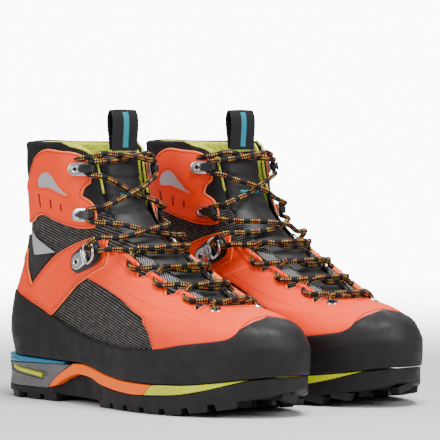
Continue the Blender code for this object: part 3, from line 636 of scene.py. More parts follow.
def ledge_high(x):
    """The ledge's top, with a raised lip at the very back."""
    shelf = smooth((10, 34.3), (46, 33.1), (92, 31.9))
    return np.where(x < 10, 34.3 + 2.7 / (1 + np.exp((x + 3.6) * 2.2)), shelf(x))


spots, faces = sole_layer(smooth((-14, 28.5), (20, 28.6), (46, 29.2), (88, 30.4), (92, 31.6)), ledge_high,
                          (-20, 91.5), rows=18,
                          carve=lambda x, z, side: 0.9 * (np.abs(z - 31.6) < 0.5) * (x < 30))
on_both("heel_ledge", spots, faces, teal_urethane, "blue_urethane", "lowers", ["crampon_ledge"], sharp=40)

# ---------------------------------------------------------------- the arch wedge and forefoot midsole
# Orange foam arches from the heel frame to the ball, and lime urethane carries on to the toe.
# Both have a fine moulded skin; the lime one has short slanted ticks at its rear end.
orange_foam, tree, shader = new_finish("orange_foam", (1.0, 0.14, 0.0), 0.5, specular_ior_level=0.25)
spot = in_millimetres(tree)
colour_by(tree, shader, grain(tree, spot, 12.0), (0.98, 0.12, 0.0), (1.0, 0.15, 0.0))
bump(tree, shader, grain(tree, spot, 0.7, 3.0), 0.35, 0.12)


def arch_low(x):
    return np.where(x < 79, 10.3 + (x - 68.9) * 0.24, np.where(x > 199, 14 + (x - 199) * 0.9, ARCH_UNDER(x)))


def arch_high(x):
    front = smooth((101, 31.4), (114, 31.6), (128, 29.8), (149, 25.4), (172, 22.8), (199, 22.2), (208, 22.1))
    return np.where(x < 101.3, SOLE_JOIN(x - GAP), front(x))


spots, faces = sole_layer(arch_low, arch_high, (69.2, 207.8), rows=20, corner=1.2,
                          carve=lambda x, z, side: -0.5 * np.sin(np.clip((z - 12) / 18, 0, 1) * pi))
on_both("arch_wedge", spots, faces, orange_foam, "orange_foam", "lowers", ["arch_midsole"], sharp=50)


def forefoot_carving(x, z, side):
    slanted = x - 0.9 * (z - 17)
    ticks = (np.abs((slanted - 214) % 4.4 - 2.2) < 0.5) & (slanted > 212) & (slanted < 236)
    return 0.6 * (ticks & (z > 15.8) & (z < 21.2))


spots, faces = sole_layer(lambda x: np.where(x < 200.7, 14.2, WEDGE_UNDER(x)),
                          smooth((200.2, 14.6), (209.2, 22), (238, 23.2), (266, 26.2), (286, 29)),
                          (200.5, 283), rows=36, carve=forefoot_carving)
on_both("forefoot_wedge", spots, faces, lime_urethane, "lime_urethane", "lowers", ["forefoot_midsole"],
        sharp=50)

# ---------------------------------------------------------------- the insole board and footbed
# A stiff fibre board closes the foot space, and a removable moulded footbed lies on it.
# Only the footbed's heel can be seen, deep inside the shaft.
FEATHER = smooth((-10, 35), (46, 33.5), (97, 32.3), (115, 32), (128, 30.2), (149, 25.8), (172, 23.2),
                 (199, 22.6), (238, 23.6), (266, 26.6), (287, 29.6), (305, 32))


def inner_layer(inset, level, thickness):
    """A dished layer inside the shell: its inset from the outline, its middle's level, its thickness."""
    shares = np.linspace(0, 1, 61) - 0.1 * np.sin(2 * pi * np.linspace(0, 1, 61)) / 1.6
    outer, inner = (plan(shares * side, 0 * shares + inset)[0] for side in (1, -1))
    loops = []
    for a, b in zip(outer, inner):
        line = [a + (b - a) * f for f in np.linspace(0, 1, 13)]
        dish = [1.2 * (2 * f - 1) ** 2 for f in np.linspace(0, 1, 13)]
        top = [(p[0], p[1], float(FEATHER(p[0])) + level + thickness / 2 + d) for p, d in zip(line, dish)]
        under = [(x, y, z - thickness) for x, y, z in top]
        loops.append(top + under[::-1])
    return loft(loops)


board_fibre, tree, shader = new_finish("board_fibre", (0.25, 0.21, 0.16), 0.85)
fibres = grain(tree, in_millimetres(tree), 1.5, 4.0)
colour_by(tree, shader, fibres, (0.17, 0.14, 0.11), (0.32, 0.27, 0.21))
bump(tree, shader, fibres, 0.4, 0.2)
spots, faces = inner_layer(-5.0, 1.7, 2.0)
on_both("insole_fibreboard", spots, faces, board_fibre, "board_fibre", "lowers", ["insole_board"])

dark_fleece, tree, shader = new_finish("footbed_fleece", (0.03, 0.03, 0.034), 0.95, sheen_weight=0.25)
pile = grain(tree, in_millimetres(tree), 0.8, 3.0)
colour_by(tree, shader, pile, (0.018, 0.018, 0.021), (0.05, 0.05, 0.056))
bump(tree, shader, pile, 0.5, 0.25)
spots, faces = inner_layer(-10.0, 5.6, 4.0)
on_both("moulded_footbed", spots, faces, dark_fleece, "black_softshell", "lowers", ["footbed"])

# ---------------------------------------------------------------- the woven shell and ankle gusset
# A coarse charcoal nylon weave with light flecks, lasted over the foot and open at the throat.
# At the ankle it is left soft, between the foot and the cuff.
THROAT = smooth((77.9, 0), (78, 0), (84, 12), (90, 15), (100, 18), (110, 21), (119, 24), (128, 27),
                (138, 27), (170, 26), (186, 27), (193, 30), (198, 34), (201, 42))


def feather(t):
    return FEATHER(on_last(t, 32)[..., 0])


def wall(bottom, top, opening, rows, columns, height):
    """An open sheet round the last between two edge lines: points, quads and flat pattern."""
    f = np.linspace(0, 1, rows)[:, None]
    c = np.linspace(-1, 1, columns)[None, :]
    z_front = bottom(np.array(1.0)) + (top(np.array(1.0)) - bottom(np.array(1.0))) * f
    reach = 1 - opening(z_front) / np.interp(z_front, HEIGHTS, GIRTHS)
    t = c * reach
    z = bottom(t) + (top(t) - bottom(t)) * f
    spots = place(t, z, height(t, z))
    index = np.arange(rows * columns).reshape(rows, columns)
    quads = np.stack([index[:-1, :-1], index[1:, :-1], index[1:, 1:], index[:-1, 1:]], -1).reshape(-1, 4)
    pattern = np.stack([t * np.interp(z, HEIGHTS, GIRTHS), z], -1)
    return spots.reshape(-1, 3), quads.tolist(), pattern.reshape(-1, 2) * 0.01


def thickened(items, thickness):
    """Gives sheets their wall, inwards from the outer face, and applies it."""
    for item in items:
        worker = item.modifiers.new("wall", "SOLIDIFY")
        worker.thickness = thickness * MM
        worker.offset = -1.0
        seen = item.evaluated_get(bpy.context.evaluated_depsgraph_get())
        mesh = bpy.data.meshes.new_from_object(seen)
        item.modifiers.remove(worker)
        mesh.name = item.data.name
        item.data = mesh


def weld(spots, faces, uv):
    """Joins points that lie together, such as the two ends of a wall that meets itself."""
    first, inverse = np.unique(np.round(spots * 100).astype(int), axis=0,
                               return_index=True, return_inverse=True)[1:]
    inverse = inverse.ravel()
    joined = [list(dict.fromkeys(inverse[k] for k in face)) for face in faces]
    return spots[first], [ring for ring in joined if len(ring) > 2], uv[first]


def flat_pattern(tree):
    """The piece's own flat pattern, in decimetres."""
    return add(tree, "ShaderNodeUVMap", uv_map="pattern").outputs[0]


def turned_pattern(tree, turn):
    """The flat pattern in millimetres, turned by some degrees, as x, y and z."""
    turned = add(tree, "ShaderNodeMapping", {"Vector": flat_pattern(tree), "Rotation": (0, 0, radians(turn)),
                                             "Scale": (100, 100, 100)})
    return add(tree, "ShaderNodeSeparateXYZ", {0: turned.outputs[0]}).outputs


ROW_MM, PICK_MM = 2.05, 1.5                # from one row of threads to the next, and along a row


def weave_finish(name, base, fleck, turn):
    """Rows of short light threads on a dark ground, staggered from row to row."""
    made, tree, shader = new_finish(name, base, 0.75, specular_ior_level=0.25)
    parts = turned_pattern(tree, turn)
    row = calc(tree, "DIVIDE", parts[1], ROW_MM)
    shift = calc(tree, "MULTIPLY", calc(tree, "FLOORED_MODULO", calc(tree, "FLOOR", row), 2.0), 0.5)
    pick = calc(tree, "ADD", calc(tree, "DIVIDE", parts[0], PICK_MM), shift)
    over_row = calc(tree, "ABSOLUTE", calc(tree, "SUBTRACT", calc(tree, "FRACT", row), 0.5))
    over_pick = calc(tree, "ABSOLUTE", calc(tree, "SUBTRACT", calc(tree, "FRACT", pick), 0.5))
    thread = calc(tree, "MULTIPLY", ramp(tree, over_row, 0.30, 0.14), ramp(tree, over_pick, 0.33, 0.15))
    patchy = ramp(tree, grain(tree, flat_pattern(tree), 0.05, 2.0), 0.35, 0.7, 0.45, 1.0)
    colour_by(tree, shader, calc(tree, "MULTIPLY", thread, patchy), base, fleck)
    roughness_by(tree, shader, thread, 0, 1, 0.85, 0.55)
    bump(tree, shader, thread, 0.8, 0.35)
    return made


SHELL_TOP = smooth((0, 112), (0.4, 113), (0.45, 116), (0.6, 125), (0.7, 128), (1, 128))
SHELL_WALL, GUSSET_WALL, LINING_WALL = 2.4, 1.2, 1.4
woven_charcoal = weave_finish("woven_charcoal", (0.007, 0.0065, 0.007), (0.30, 0.275, 0.25), 16)
spots, quads, uv = wall(lambda t: feather(t) + GAP, lambda t: SHELL_TOP(np.abs(t)), THROAT, 60, 261,
                        lambda t, z: 0 * z)
spots, quads, uv = weld(spots, quads, uv)
shell = on_both("shell_weave", spots, quads, woven_charcoal, "woven_charcoal", "lowers", ["upper_shell"],
                uv=uv)
thickened(shell, SHELL_WALL)


def ankle_height(t, z):
    """Soft folds round the ankle, deepest beside the throat."""
    swell = np.sin(np.clip((z - 110) / 30, 0, 1) * pi) * (0.3 + 0.7 * np.abs(t) ** 2)
    return 0.3 + 0.45 * swell * np.sin(z * 0.55 + 2.0 * np.sin(np.abs(t) * 5.0))


spots, quads, uv = wall(lambda t: SHELL_TOP(np.abs(t)) - 3.0, lambda t: 149.0 + 0 * t, THROAT, 30, 261,
                        ankle_height)
gusset = on_both("ankle_gusset", spots, quads, woven_charcoal, "woven_charcoal", "ankle", ["ankle_flex"],
                 uv=uv)
thickened(gusset, GUSSET_WALL)

# ---------------------------------------------------------------- the rand
# One strip of black rubber all round, cemented over the shell, high at the heel and the toe.
# Its upper edge is skived round and the toe has a second, thicker bumper layer.
RAND_TOP = smooth((0, 86), (0.12, 85), (0.19, 81), (0.27, 69), (0.37, 56.5), (0.45, 51), (0.55, 48),
                  (0.66, 49), (0.76, 54), (0.85, 57.5), (0.9, 65), (0.95, 69.5), (1, 72))
BUMPER_TOP = smooth((0, 40), (0.5, 38), (0.7, 41), (0.82, 47), (0.9, 52), (1, 54))


def rand_loops():
    """Sections of the rand all round: a skived lip, a thicker toe, and a thinner back at the heel."""
    loops = []
    for t in np.linspace(-1, 1, 421)[:-1]:
        low, high = float(feather(np.array(t))) + 2 * GAP, float(RAND_TOP(abs(t)))
        step = float(BUMPER_TOP(abs(t)))
        forward = float(np.clip((abs(t) - 0.62) / 0.2, 0, 1))
        z = np.concatenate([np.linspace(low, high - 2.2, 22), high - 1.6 * np.linspace(1, 0, 6) ** 1.5])
        lip = np.clip((high - z) / 1.8, 0, 1)
        h = 1.25 + 2.35 * np.sqrt(np.clip(1 - (1 - lip) ** 2, 0, 1))
        h = h + 0.45 * forward / (1 + np.exp((z - step) * 2.0)) - 0.25 * np.exp(-((z - low) / 1.0) ** 2)
        h = h + 0.12 * np.sin(t * 37 + z * 0.12)
        h = h - 2.0 * np.clip((52 - z) / 18, 0, 1) * np.clip((0.16 - abs(t)) / 0.06, 0, 1)
        outer = place(t, z, h)
        inner = place(t, z[::3][::-1], np.full(len(z[::3]), 1.1) - 2.0 * (abs(t) < 0.16))
        loops.append(list(outer) + list(inner))
    return loops


spots, faces = loft(rand_loops(), band=True, merge=0.0005)
on_both("rand_rubber", spots, faces, rubber, "black_rubber", "lowers", ["rand"])

# ---------------------------------------------------------------- the orange overlays
# Coated microfibre panels cut to a pattern and sewn over the shell, one on the cuff, one that
# wraps the heel and straps the ankle, and one with pointed flaps over the toes and the throat.
SHARP_TURN = cos(radians(33))              # an outline that turns by more keeps a corner there


def mirrored(outline):
    """A whole outline from its outer half, whose ends lie on the centre line."""
    return outline + [(-a, b) for a, b in reversed(outline) if abs(a) > 0.01]


def curved(outline, step=1.5, closed_line=True):
    """Points along a smooth line through an outline's points that keeps its sharp corners."""
    p = np.array(outline, float)
    n = len(p)
    tangents = []
    for k in range(n):
        before, after = p[k] - p[k - 1], p[(k + 1) % n] - p[k]
        if not closed_line and k in (0, n - 1):
            tangents.append(None)
            continue
        a, b = np.linalg.norm(before), np.linalg.norm(after)
        if before @ after < SHARP_TURN * a * b:
            tangents.append(None)
            continue
        way = before / a * b + after / b * a
        tangents.append(way / np.linalg.norm(way))
    line = []
    for k in range(n if closed_line else n - 1):
        start, end = p[k], p[(k + 1) % n]
        length = np.linalg.norm(end - start)
        out, into = tangents[k], tangents[(k + 1) % n]
        out = (end - start) / length if out is None else out
        into = (end - start) / length if into is None else into
        for f in np.linspace(0, 1, max(2, int(length / step) + 1))[:-1]:
            line.append((1 + 2 * f) * (1 - f) ** 2 * start + f * (1 - f) ** 2 * length * out
                        + f * f * (3 - 2 * f) * end + f * f * (f - 1) * length * into)
    if not closed_line:
        line.append(p[-1])
    return np.array(line)


def distance_in(points, ring):
    """How far inside a closed outline points are; outside it the number is negative."""
    following = np.roll(ring, -1, axis=0)
    run = following - ring
    length = (run * run).sum(1)
    found = np.empty(len(points))
    for start in range(0, len(points), 500):
        some = points[start:start + 500]
        to_point = some[:, None] - ring[None]
        f = np.clip((to_point * run).sum(2) / length, 0, 1)
        near = np.linalg.norm(to_point - run * f[..., None], axis=2).min(1)
        crosses = (ring[:, 1] > some[:, 1:]) != (following[:, 1] > some[:, 1:])
        rise = np.where(np.abs(run[:, 1]) < 1e-9, 1e-9, run[:, 1])
        left = some[:, :1] < ring[:, 0] + (some[:, 1:] - ring[:, 1]) * run[:, 0] / rise
        inside = (crosses & left).sum(1) % 2 == 1
        found[start:start + 500] = np.where(inside, near, -near)
    return found


def inwards(ring):
    """The inward direction at each point of a closed outline."""
    run = np.roll(ring, -1, axis=0) - np.roll(ring, 1, axis=0)
    out = np.stack([run[:, 1], -run[:, 0]], 1) / np.linalg.norm(run, axis=1, keepdims=True)
    area = (ring[:, 0] * np.roll(ring[:, 1], -1) - np.roll(ring[:, 0], -1) * ring[:, 1]).sum()
    return -out if area > 0 else out


RIMS = (0.12, 0.4, 0.85, 1.4, 2.0, 2.6)     # rows of points that follow a cut edge, for its dome


def cut(outline, spacing=3.0, lean=1.0, rims=RIMS, step=1.5):
    """A pattern piece laid flat: its points, triangles, edge points and depth in from the edge."""
    ring = curved([(a, z * lean) for a, z in outline], step)
    way = inwards(ring)
    points = [ring]
    for rim in rims:
        row = ring + way * rim
        points.append(row[distance_in(row, ring) > rim * 0.97])
    low, high = ring.min(0), ring.max(0)
    rows = np.arange(low[1], high[1], spacing * 0.87)
    grid = np.array([(x + (spacing / 2 if k % 2 else 0), y) for k, y in enumerate(rows)
                     for x in np.arange(low[0], high[0], spacing)])
    points.append(grid[distance_in(grid, ring) > rims[-1] + spacing * 0.45])
    every = np.concatenate(points)
    net = delaunay_2d_cdt([Vector(q) for q in every], [], [list(range(len(ring)))], 1, 0.00001)
    flat = np.array([v[:] for v in net[0]])
    border = [k for k, origins in enumerate(net[3]) if any(o < len(ring) for o in origins)]
    depth = np.maximum(distance_in(flat, ring), 0)
    depth[border] = 0
    return flat, [list(f) for f in net[2]], depth


def lay(net, share_of, inside, outside, lean=1.0, relief=None, edge=0.85):
    """A cut piece on the last as a closed sheet: domed edges, a stitch groove, and a flat back."""
    flat, triangles, depth = net
    a, z = flat[:, 0], flat[:, 1] / lean
    dome = np.sqrt(np.clip(1 - (1 - np.clip(depth / edge, 0, 1)) ** 2, 0, 1))
    h = inside + (outside - inside) * (0.3 + 0.7 * dome) - 0.22 * np.exp(-((depth - 2.0) / 0.45) ** 2)
    if relief is not None:
        h = h + relief(a, z, depth)
    t = share_of(a, z)
    top = place(t, z, h)
    back = place(t, z, np.full(len(a), inside))
    count = len(flat)
    turned = np.array(triangles)
    edges = np.concatenate([turned[:, [0, 1]], turned[:, [1, 2]], turned[:, [2, 0]]])
    seen = {tuple(e) for e in edges.tolist()}
    rim = [e for e in seen if (e[1], e[0]) not in seen]
    faces = turned.tolist() + (turned[:, ::-1] + count).tolist()
    faces += [[q, p, p + count, q + count] for p, q in rim]
    first = top[turned[0]]
    normal = np.cross(first[1] - first[0], first[2] - first[0])
    if normal @ axes_at(t[turned[0][0]], z[turned[0][0]])[2] < 0:
        faces = [face[::-1] for face in faces]
    pattern = np.stack([a, flat[:, 1]], 1) * 0.01
    return np.concatenate([top, back]), faces, {"uv": np.concatenate([pattern, pattern]),
                                                "values": {"rim": np.concatenate([depth, 0 * depth])}}


def panel(name, net, share_of, heights, finish, slot, body, nodes=(), **shape):
    """A cut piece laid on each boot between two heights over the last."""
    spots, faces, facts = lay(net, share_of, *heights, **shape)
    on_both(name, spots, faces, finish, slot, body, nodes, **facts)


SIDES = {"lateral": 1, "medial": -1}


def to_side(outline, side):
    return [(a * side, z) for a, z in outline]


def sheet_finish(name, colour, edge_colour, roughness, groove_shade_colour, **constants):
    """A coated fabric with a pale cut edge, painted shade in the stitch groove, a fine grain and soft wear.
    """
    made, tree, shader = new_finish(name, colour, roughness, **constants)
    rim = add(tree, "ShaderNodeAttribute", attribute_name="rim").outputs["Fac"]
    pattern = flat_pattern(tree)
    broad = ramp(tree, grain(tree, pattern, 0.22, 3.0), 0.35, 0.7)
    lighter = tuple(min(1.0, c * 1.12 + 0.012) for c in colour)
    main = blend_colours(tree, broad, colour, lighter)
    # Painted shade: along the stitch groove the colour darkens towards the groove shade colour.
    groove = calc(tree, "ABSOLUTE", calc(tree, "SUBTRACT", rim, 2.0))
    main = blend_colours(tree, ramp(tree, groove, 0.9, 0.0, 0.0, 0.55), main, groove_shade_colour)
    main = blend_colours(tree, ramp(tree, rim, 0.75, 0.3), main, edge_colour)
    tree.links.new(main, shader.inputs["Base Color"])
    fine = grain(tree, pattern, 0.0045, 2.0, 0.6)
    roughness_by(tree, shader, broad, 0, 1, roughness - 0.05, roughness + 0.06)
    bump(tree, shader, fine, 0.25, 0.12)
    return made


# The third colour is painted shade for the stitch groove.
microfibre = sheet_finish("orange_microfibre", (0.98, 0.048, 0.0), (1.0, 0.22, 0.06), 0.6, (0.60, 0.02, 0.0),
                          specular_ior_level=0.22)
OVERLAY = (1.0, 2.6)                       # an overlay's inner and outer face over the last
CUFF_PATTERN = [(0, 166), (30, 169), (45, 175), (56, 184), (66, 193), (78, 198), (97, 197), (111, 195),
                (117, 192), (119, 181), (118, 172), (112, 167), (110, 162), (117, 157), (121, 147),
                (121, 137), (111, 136.5), (99, 137.5), (87, 140), (75, 143), (64, 146.5), (54, 145),
                (45, 140.5), (30, 139.2), (0, 139)]
QUARTER_PATTERN = [(0, 108), (30, 115), (37, 119), (42, 108), (52, 98), (59, 91), (63, 98), (70, 107),
                   (78, 114), (90, 120), (102, 124.5), (115, 128.5), (126, 131), (132, 131.5),
                   (136, 129), (137, 124), (142, 118), (145, 108), (131, 101), (124, 96.5), (118, 93),
                   (110, 85), (101, 76), (92, 66.8), (82, 70.8), (67, 75.7), (52, 79.7), (40, 82.3),
                   (20, 83.7), (0, 84.3)]
VAMP_PATTERN = [(0, 79.3), (14, 80), (24, 80.5), (39, 77), (26, 84), (29, 89.5), (44, 87), (32, 96),
                (35, 102.5), (50, 100), (38, 109), (39, 116), (56, 125), (68, 116), (98, 107.5),
                (110, 99.5), (95, 90), (92, 82), (98, 74), (112, 66), (117, 57), (117, 47.6),
                (101, 50.2), (82, 52.6), (64, 54.6), (52, 56.0), (44, 58.4), (36, 62.6), (27, 66.2),
                (18, 68.8), (9, 70.2), (0, 71)]
VAMP_LEAN = 1.9            # how much longer the sloping vamp is than its height
FLAPS = [((39, 116), (38, 109)), ((35, 102.5), (32, 96)), ((29, 89.5), (26, 84))]
REFLECTOR = [(76, 180.5), (82, 179.5), (86, 174), (92, 166.5), (99, 162), (94, 162.5), (85, 165.5),
             (75, 168), (63, 168), (62.5, 172), (69, 178.5)]
SLITS = [((61, 152.5), (61, 163.5)), ((74.5, 152), (75.5, 159)), ((87, 150.5), (88, 155.5))]


def cuff_relief(a, z, depth):
    """The reflector is pressed in behind a stitched rim, and three slits are punched below it."""
    dip = 0 * a
    inside = distance_in(np.stack([np.abs(a), z], 1), REFLECTOR_RING)
    dip -= 0.45 * np.clip(inside / 0.5, 0, 1)
    dip -= 0.18 * np.exp(-((inside + 1.6) / 0.5) ** 2)
    for start, end in SLITS:
        dip -= 0.9 * np.clip((1.25 - beside_line(np.abs(a), z, start, end)) / 0.6, 0, 1)
    return dip


REFLECTOR_RING = curved(REFLECTOR)
cuff_net = cut(mirrored(CUFF_PATTERN), 1.7)
panel("cuff_panel", cuff_net, from_back, OVERLAY, microfibre, "orange_synthetic", "cuff", ["cuff_overlay"],
      relief=cuff_relief)
quarter_net = cut(mirrored(QUARTER_PATTERN), 2.4)
panel("quarter_panel", quarter_net, from_back, OVERLAY, microfibre, "orange_synthetic", "lowers",
      ["quarter_overlay"])
VAMP_SEAM = [(83, 98), (81, 93), (76, 88), (72, 83), (69, 78), (67, 74), (63, 70), (55, 69), (46, 71),
             (40, 74), (30, 76), (16, 77.5), (0, 77.8)]


ROLL = 3.3                 # how far a flap's fold stands up over the lace
TUCK = 1.3                 # how far the vamp's rear sinks in under the quarter panel
TUCKED = np.array([(46, 130), (51, 117), (55, 104.5), (66, 102.5), (83, 99), (99, 95.5), (106, 90),
                   (125, 100), (80, 135)]) * (1, VAMP_LEAN)


def vamp_relief(a, z, depth):
    """Flaps rolled over the lace, fine creases across the ball and a soft swell between seams."""
    crease = np.exp(-((z - 84) / 5) ** 2) + np.exp(-((z - 93) / 4) ** 2)
    flat = np.stack([np.abs(a), z * VAMP_LEAN], 1)
    rolled = 0 * a
    for start, end in np.array(FLAPS) * (1, VAMP_LEAN):
        way_in = beside_line(*flat.T, start, end)
        rolled = np.maximum(rolled, ROLL * np.sqrt(np.clip(1 - ((way_in - 2.9) / 3.6) ** 2, 0, 1)))
    under = np.clip((distance_in(flat, TUCKED) + 0.5) / 1.2, 0, 1)
    swell = 0.18 * np.clip((depth - 2) / 5, 0, 1)
    return rolled - TUCK * under - 0.16 * crease * np.clip(depth / 5, 0, 1) + swell


vamp_net = cut(mirrored(VAMP_PATTERN), 1.8, VAMP_LEAN)
panel("vamp_panel", vamp_net, from_front, OVERLAY, microfibre, "orange_synthetic", "lowers", ["vamp_overlay"],
      lean=VAMP_LEAN, relief=vamp_relief)

# ---------------------------------------------------------------- the heel patch, silver film and slits
# A black stretch patch shows in the V behind the ankle, glued flat to the shell. A silver film
# triangle is bonded to its upper corner on each side, and a reflector of the same film lies in the
# cuff panel, over three punched slits, each covered by a dark red sheet of painted shade.
# The third colour is painted shade for the stitch groove.
soft_black = sheet_finish("stretch_softshell", (0.008, 0.007, 0.008), (0.016, 0.015, 0.016), 0.55,
                          (0.004, 0.004, 0.004), specular_ior_level=0.35)
HEEL_PATTERN = [(0, 129), (44, 129), (52, 128), (61, 123.5), (72, 119.5), (79, 116.4), (76.6, 115),
                (68.6, 107.8), (61.6, 98.6), (59, 93.4), (53.2, 99), (43.4, 108.8), (38, 121),
                (29.6, 117), (0, 109.6)]
panel("heel_patch", cut(mirrored(HEEL_PATTERN), 3.0), from_back, (0.9, 1.9), soft_black, "black_softshell",
      "lowers", ["heel_panel"])

silver_film, tree, shader = new_finish("silver_film", (0.42, 0.42, 0.43), 0.38, metallic=0.35)
sparkle = grain(tree, in_millimetres(tree), 0.35, 1.0)
colour_by(tree, shader, sparkle, (0.33, 0.33, 0.345), (0.55, 0.55, 0.56))
bump(tree, shader, sparkle, 0.2, 0.05)
SILVER_PATTERN = [(41.5, 134.5), (48, 130.2), (54, 127), (61, 124.3), (70, 120.6), (78.5, 117.2), (66, 115.6),
                  (53, 114.3), (48.5, 121)]
FILM_RIMS = (0.2, 0.6, 1.2)
for where, side in SIDES.items():
    panel(f"silver_corner_{where}", cut(to_side(SILVER_PATTERN, side), 3.0, rims=FILM_RIMS), from_back,
          (1.7, 2.5), silver_film, "woven_charcoal", "lowers", edge=0.5)
    panel(f"reflector_{where}", cut(to_side(REFLECTOR, side), 2.5, rims=FILM_RIMS), from_back,
          (1.6, 2.35), silver_film, "woven_charcoal", "cuff", edge=0.4)

# Painted shade: each punched slit is a thin dark red sheet laid over the cuff panel, standing in for the
# shade inside the slit.
slit_painted_shade, tree, shader = new_finish("slit_shadow", (0.10, 0.008, 0.004), 0.9)
colour_by(tree, shader, grain(tree, in_millimetres(tree), 0.8), (0.06, 0.006, 0.003), (0.15, 0.014, 0.006))
# Each slit piece is a sheet of painted shade laid over its punched slit.
for number, (start, end) in enumerate(SLITS, 1):
    outline = [(start[0] - 0.15, start[1]), (start[0] + 0.75, start[1]), (end[0] + 0.35, end[1]),
               (end[0] - 0.25, end[1])]
    for where, side in SIDES.items():
        panel(f"slit_{number}_{where}", cut(to_side(outline, side), 1.0, rims=(0.2,), step=0.5), from_back,
              (1.9, 2.75), slit_painted_shade, "orange_synthetic", "cuff", edge=0.3)

# ---------------------------------------------------------------- the collar, its piping and lining
# Padded stretch softshell round the ankle, with a rolled top edge and lime piping down its fronts.
# The brushed lime lining starts inside the roll and runs down to the footbed.
COLLAR_FOOT, COLLAR_TOP = 138.2, 204.0
FRONT_EDGE = smooth((138, 0), (190, 0), (196, 1.5), (201, 6), (203, 10), (204, 13))


def collar_lean(t, z):
    """The top of the collar leans in over the heel."""
    return -7.5 * np.clip((z - 184) / 20, 0, 1) ** 1.7 * np.exp(-(t / 0.28) ** 4)


def collar_loops():
    """Sections from one front edge round the heel to the other: up outside, over the roll, and down."""
    up = np.linspace(COLLAR_FOOT, COLLAR_TOP - 3.4, 36)
    roll = np.linspace(0, pi, 11)
    z = np.concatenate([up, COLLAR_TOP - 3.2 + 3.2 * np.sin(roll), [199, 194, 189, 184, 178, 160, 139.5]])
    inner = np.array([-5.6, -5.0, -4.4, -3.6, -2.6, -2.4, -2.4])
    h = np.concatenate([0 * up, -3.0 + 3.0 * np.cos(roll), inner])
    tucked = -1.6 * np.clip((151 - up) / 5, 0, 1)
    swell = np.concatenate([tucked + 0.9 * np.sin((up - COLLAR_FOOT) / 62 * pi), 0 * roll, 0 * inner])
    loops = []
    for c in np.linspace(-1, 1, 301):
        reach = 1 - (THROAT(z) + FRONT_EDGE(z)) / np.interp(z, HEIGHTS, GIRTHS)
        front = np.clip((1 - abs(c)) / 0.03, 0, 1)
        pucker = 0.12 * np.sin(c * 60) * np.exp(-((z - 200) / 4) ** 2) + collar_lean(c, z)
        thin = 1 - 0.62 * np.clip((abs(c) - 0.84) / 0.08, 0, 1)
        loops.append(place(c * reach, z, h * thin + swell * front + pucker - 0.4 * (1 - front)))
    return loops


spots, faces = loft(collar_loops())
knit, tree, shader = new_finish("stretch_knit", (0.009, 0.008, 0.009), 0.8, specular_ior_level=0.25)
spot = in_millimetres(tree)
parts = add(tree, "ShaderNodeSeparateXYZ", {0: spot})
ribs = calc(tree, "SINE", calc(tree, "MULTIPLY", parts.outputs[2], 5.5))
wear = ramp(tree, grain(tree, spot, 16.0, 3.0), 0.4, 0.7)
colour_by(tree, shader, wear, (0.007, 0.0065, 0.0075), (0.014, 0.013, 0.0145))
bump(tree, shader, calc(tree, "ADD", calc(tree, "MULTIPLY", ribs, 0.3), grain(tree, spot, 0.6)), 0.3, 0.15)
on_both("collar_softshell", spots, faces, knit, "black_softshell", "cuff", ["collar"])


def tube(line, radius, sides=10, ring=False):
    """A round bar along points, with a pattern of its length and its way round."""
    line = np.asarray(line, float)
    count = len(line)
    ahead = (np.roll(line, -1, 0) - np.roll(line, 1, 0)) if ring else np.gradient(line, axis=0)
    ahead /= np.linalg.norm(ahead, axis=1, keepdims=True)
    side = np.cross(ahead[0], (0, 0, 1.0) if abs(ahead[0][2]) < 0.9 else (1.0, 0, 0))
    sides_on = []
    for k in range(count):
        side = side - ahead[k] * (side @ ahead[k])
        side /= np.linalg.norm(side)
        sides_on.append(side.copy())
    sides_on = np.array(sides_on)
    if ring:
        up = np.cross(ahead[0], sides_on[0])
        back = np.arctan2(sides_on[-1] @ up, sides_on[-1] @ sides_on[0])
        for k in range(count):
            turn = -back * k / count
            up = np.cross(ahead[k], sides_on[k])
            sides_on[k] = sides_on[k] * cos(turn) + up * sin(turn)
    run = np.concatenate([[0], np.cumsum(np.linalg.norm(np.diff(line, axis=0), axis=1))])
    a = np.linspace(0, 2 * pi, sides + 1)[:-1]
    up = np.cross(ahead, sides_on)
    spots = line[:, None] + radius * (sides_on[:, None] * np.cos(a)[None, :, None]
                                      + up[:, None] * np.sin(a)[None, :, None])
    index = np.arange(count * sides).reshape(count, sides)
    after = np.roll(index, -1, 1)
    rows = range(count if ring else count - 1)
    faces = [[index[k, n], after[k, n], after[(k + 1) % count, n], index[(k + 1) % count, n]]
             for k in rows for n in range(sides)]
    if not ring:
        faces += [index[0][::-1], index[-1]]
    faces = [[int(q) for q in face] for face in faces]
    pattern = np.stack([np.repeat(run, sides), np.tile(a * radius, count)], 1) * 0.01
    return spots.reshape(-1, 3), faces, {"uv": pattern}


def together(shapes):
    """Several closed shapes as one piece."""
    faces = []
    start = 0
    for points, quads in shapes:
        faces += [[q + start for q in face] for face in quads]
        start += len(points)
    return np.concatenate([points for points, quads in shapes]), faces


lime_knit, tree, shader = new_finish("lime_lining_knit", (0.60, 0.66, 0.03), 0.9, sheen_weight=0.3)
spot = in_millimetres(tree)
cells = add(tree, "ShaderNodeTexVoronoi", {"Vector": spot, "Scale": 0.55}).outputs["Distance"]
colour_by(tree, shader, ramp(tree, cells, 0.1, 0.9), (0.70, 0.76, 0.06), (0.40, 0.45, 0.01))
bump(tree, shader, calc(tree, "SUBTRACT", 1.0, cells), 0.5, 0.35)
edge_z = np.concatenate([np.linspace(164, 196, 24), np.linspace(196.6, 203.8, 28)])
edge_v = THROAT(edge_z) + FRONT_EDGE(edge_z) - 0.2
edges = [place(from_front(side * edge_v, edge_z), edge_z, 0 * edge_z - 0.5) for side in (1, -1)]
spots, faces = together([tube(edge, 0.95, 8)[:2] for edge in edges])
on_both("collar_piping", spots, faces, lime_knit, "lime_lining", "cuff")

LINING_THROAT = smooth((77.9, 0), (78, 0), (84, 20), (90, 29), (110, 39), (135, 42), (150, 33), (160, 30.5),
                       (196, 30.5), (204, 44))


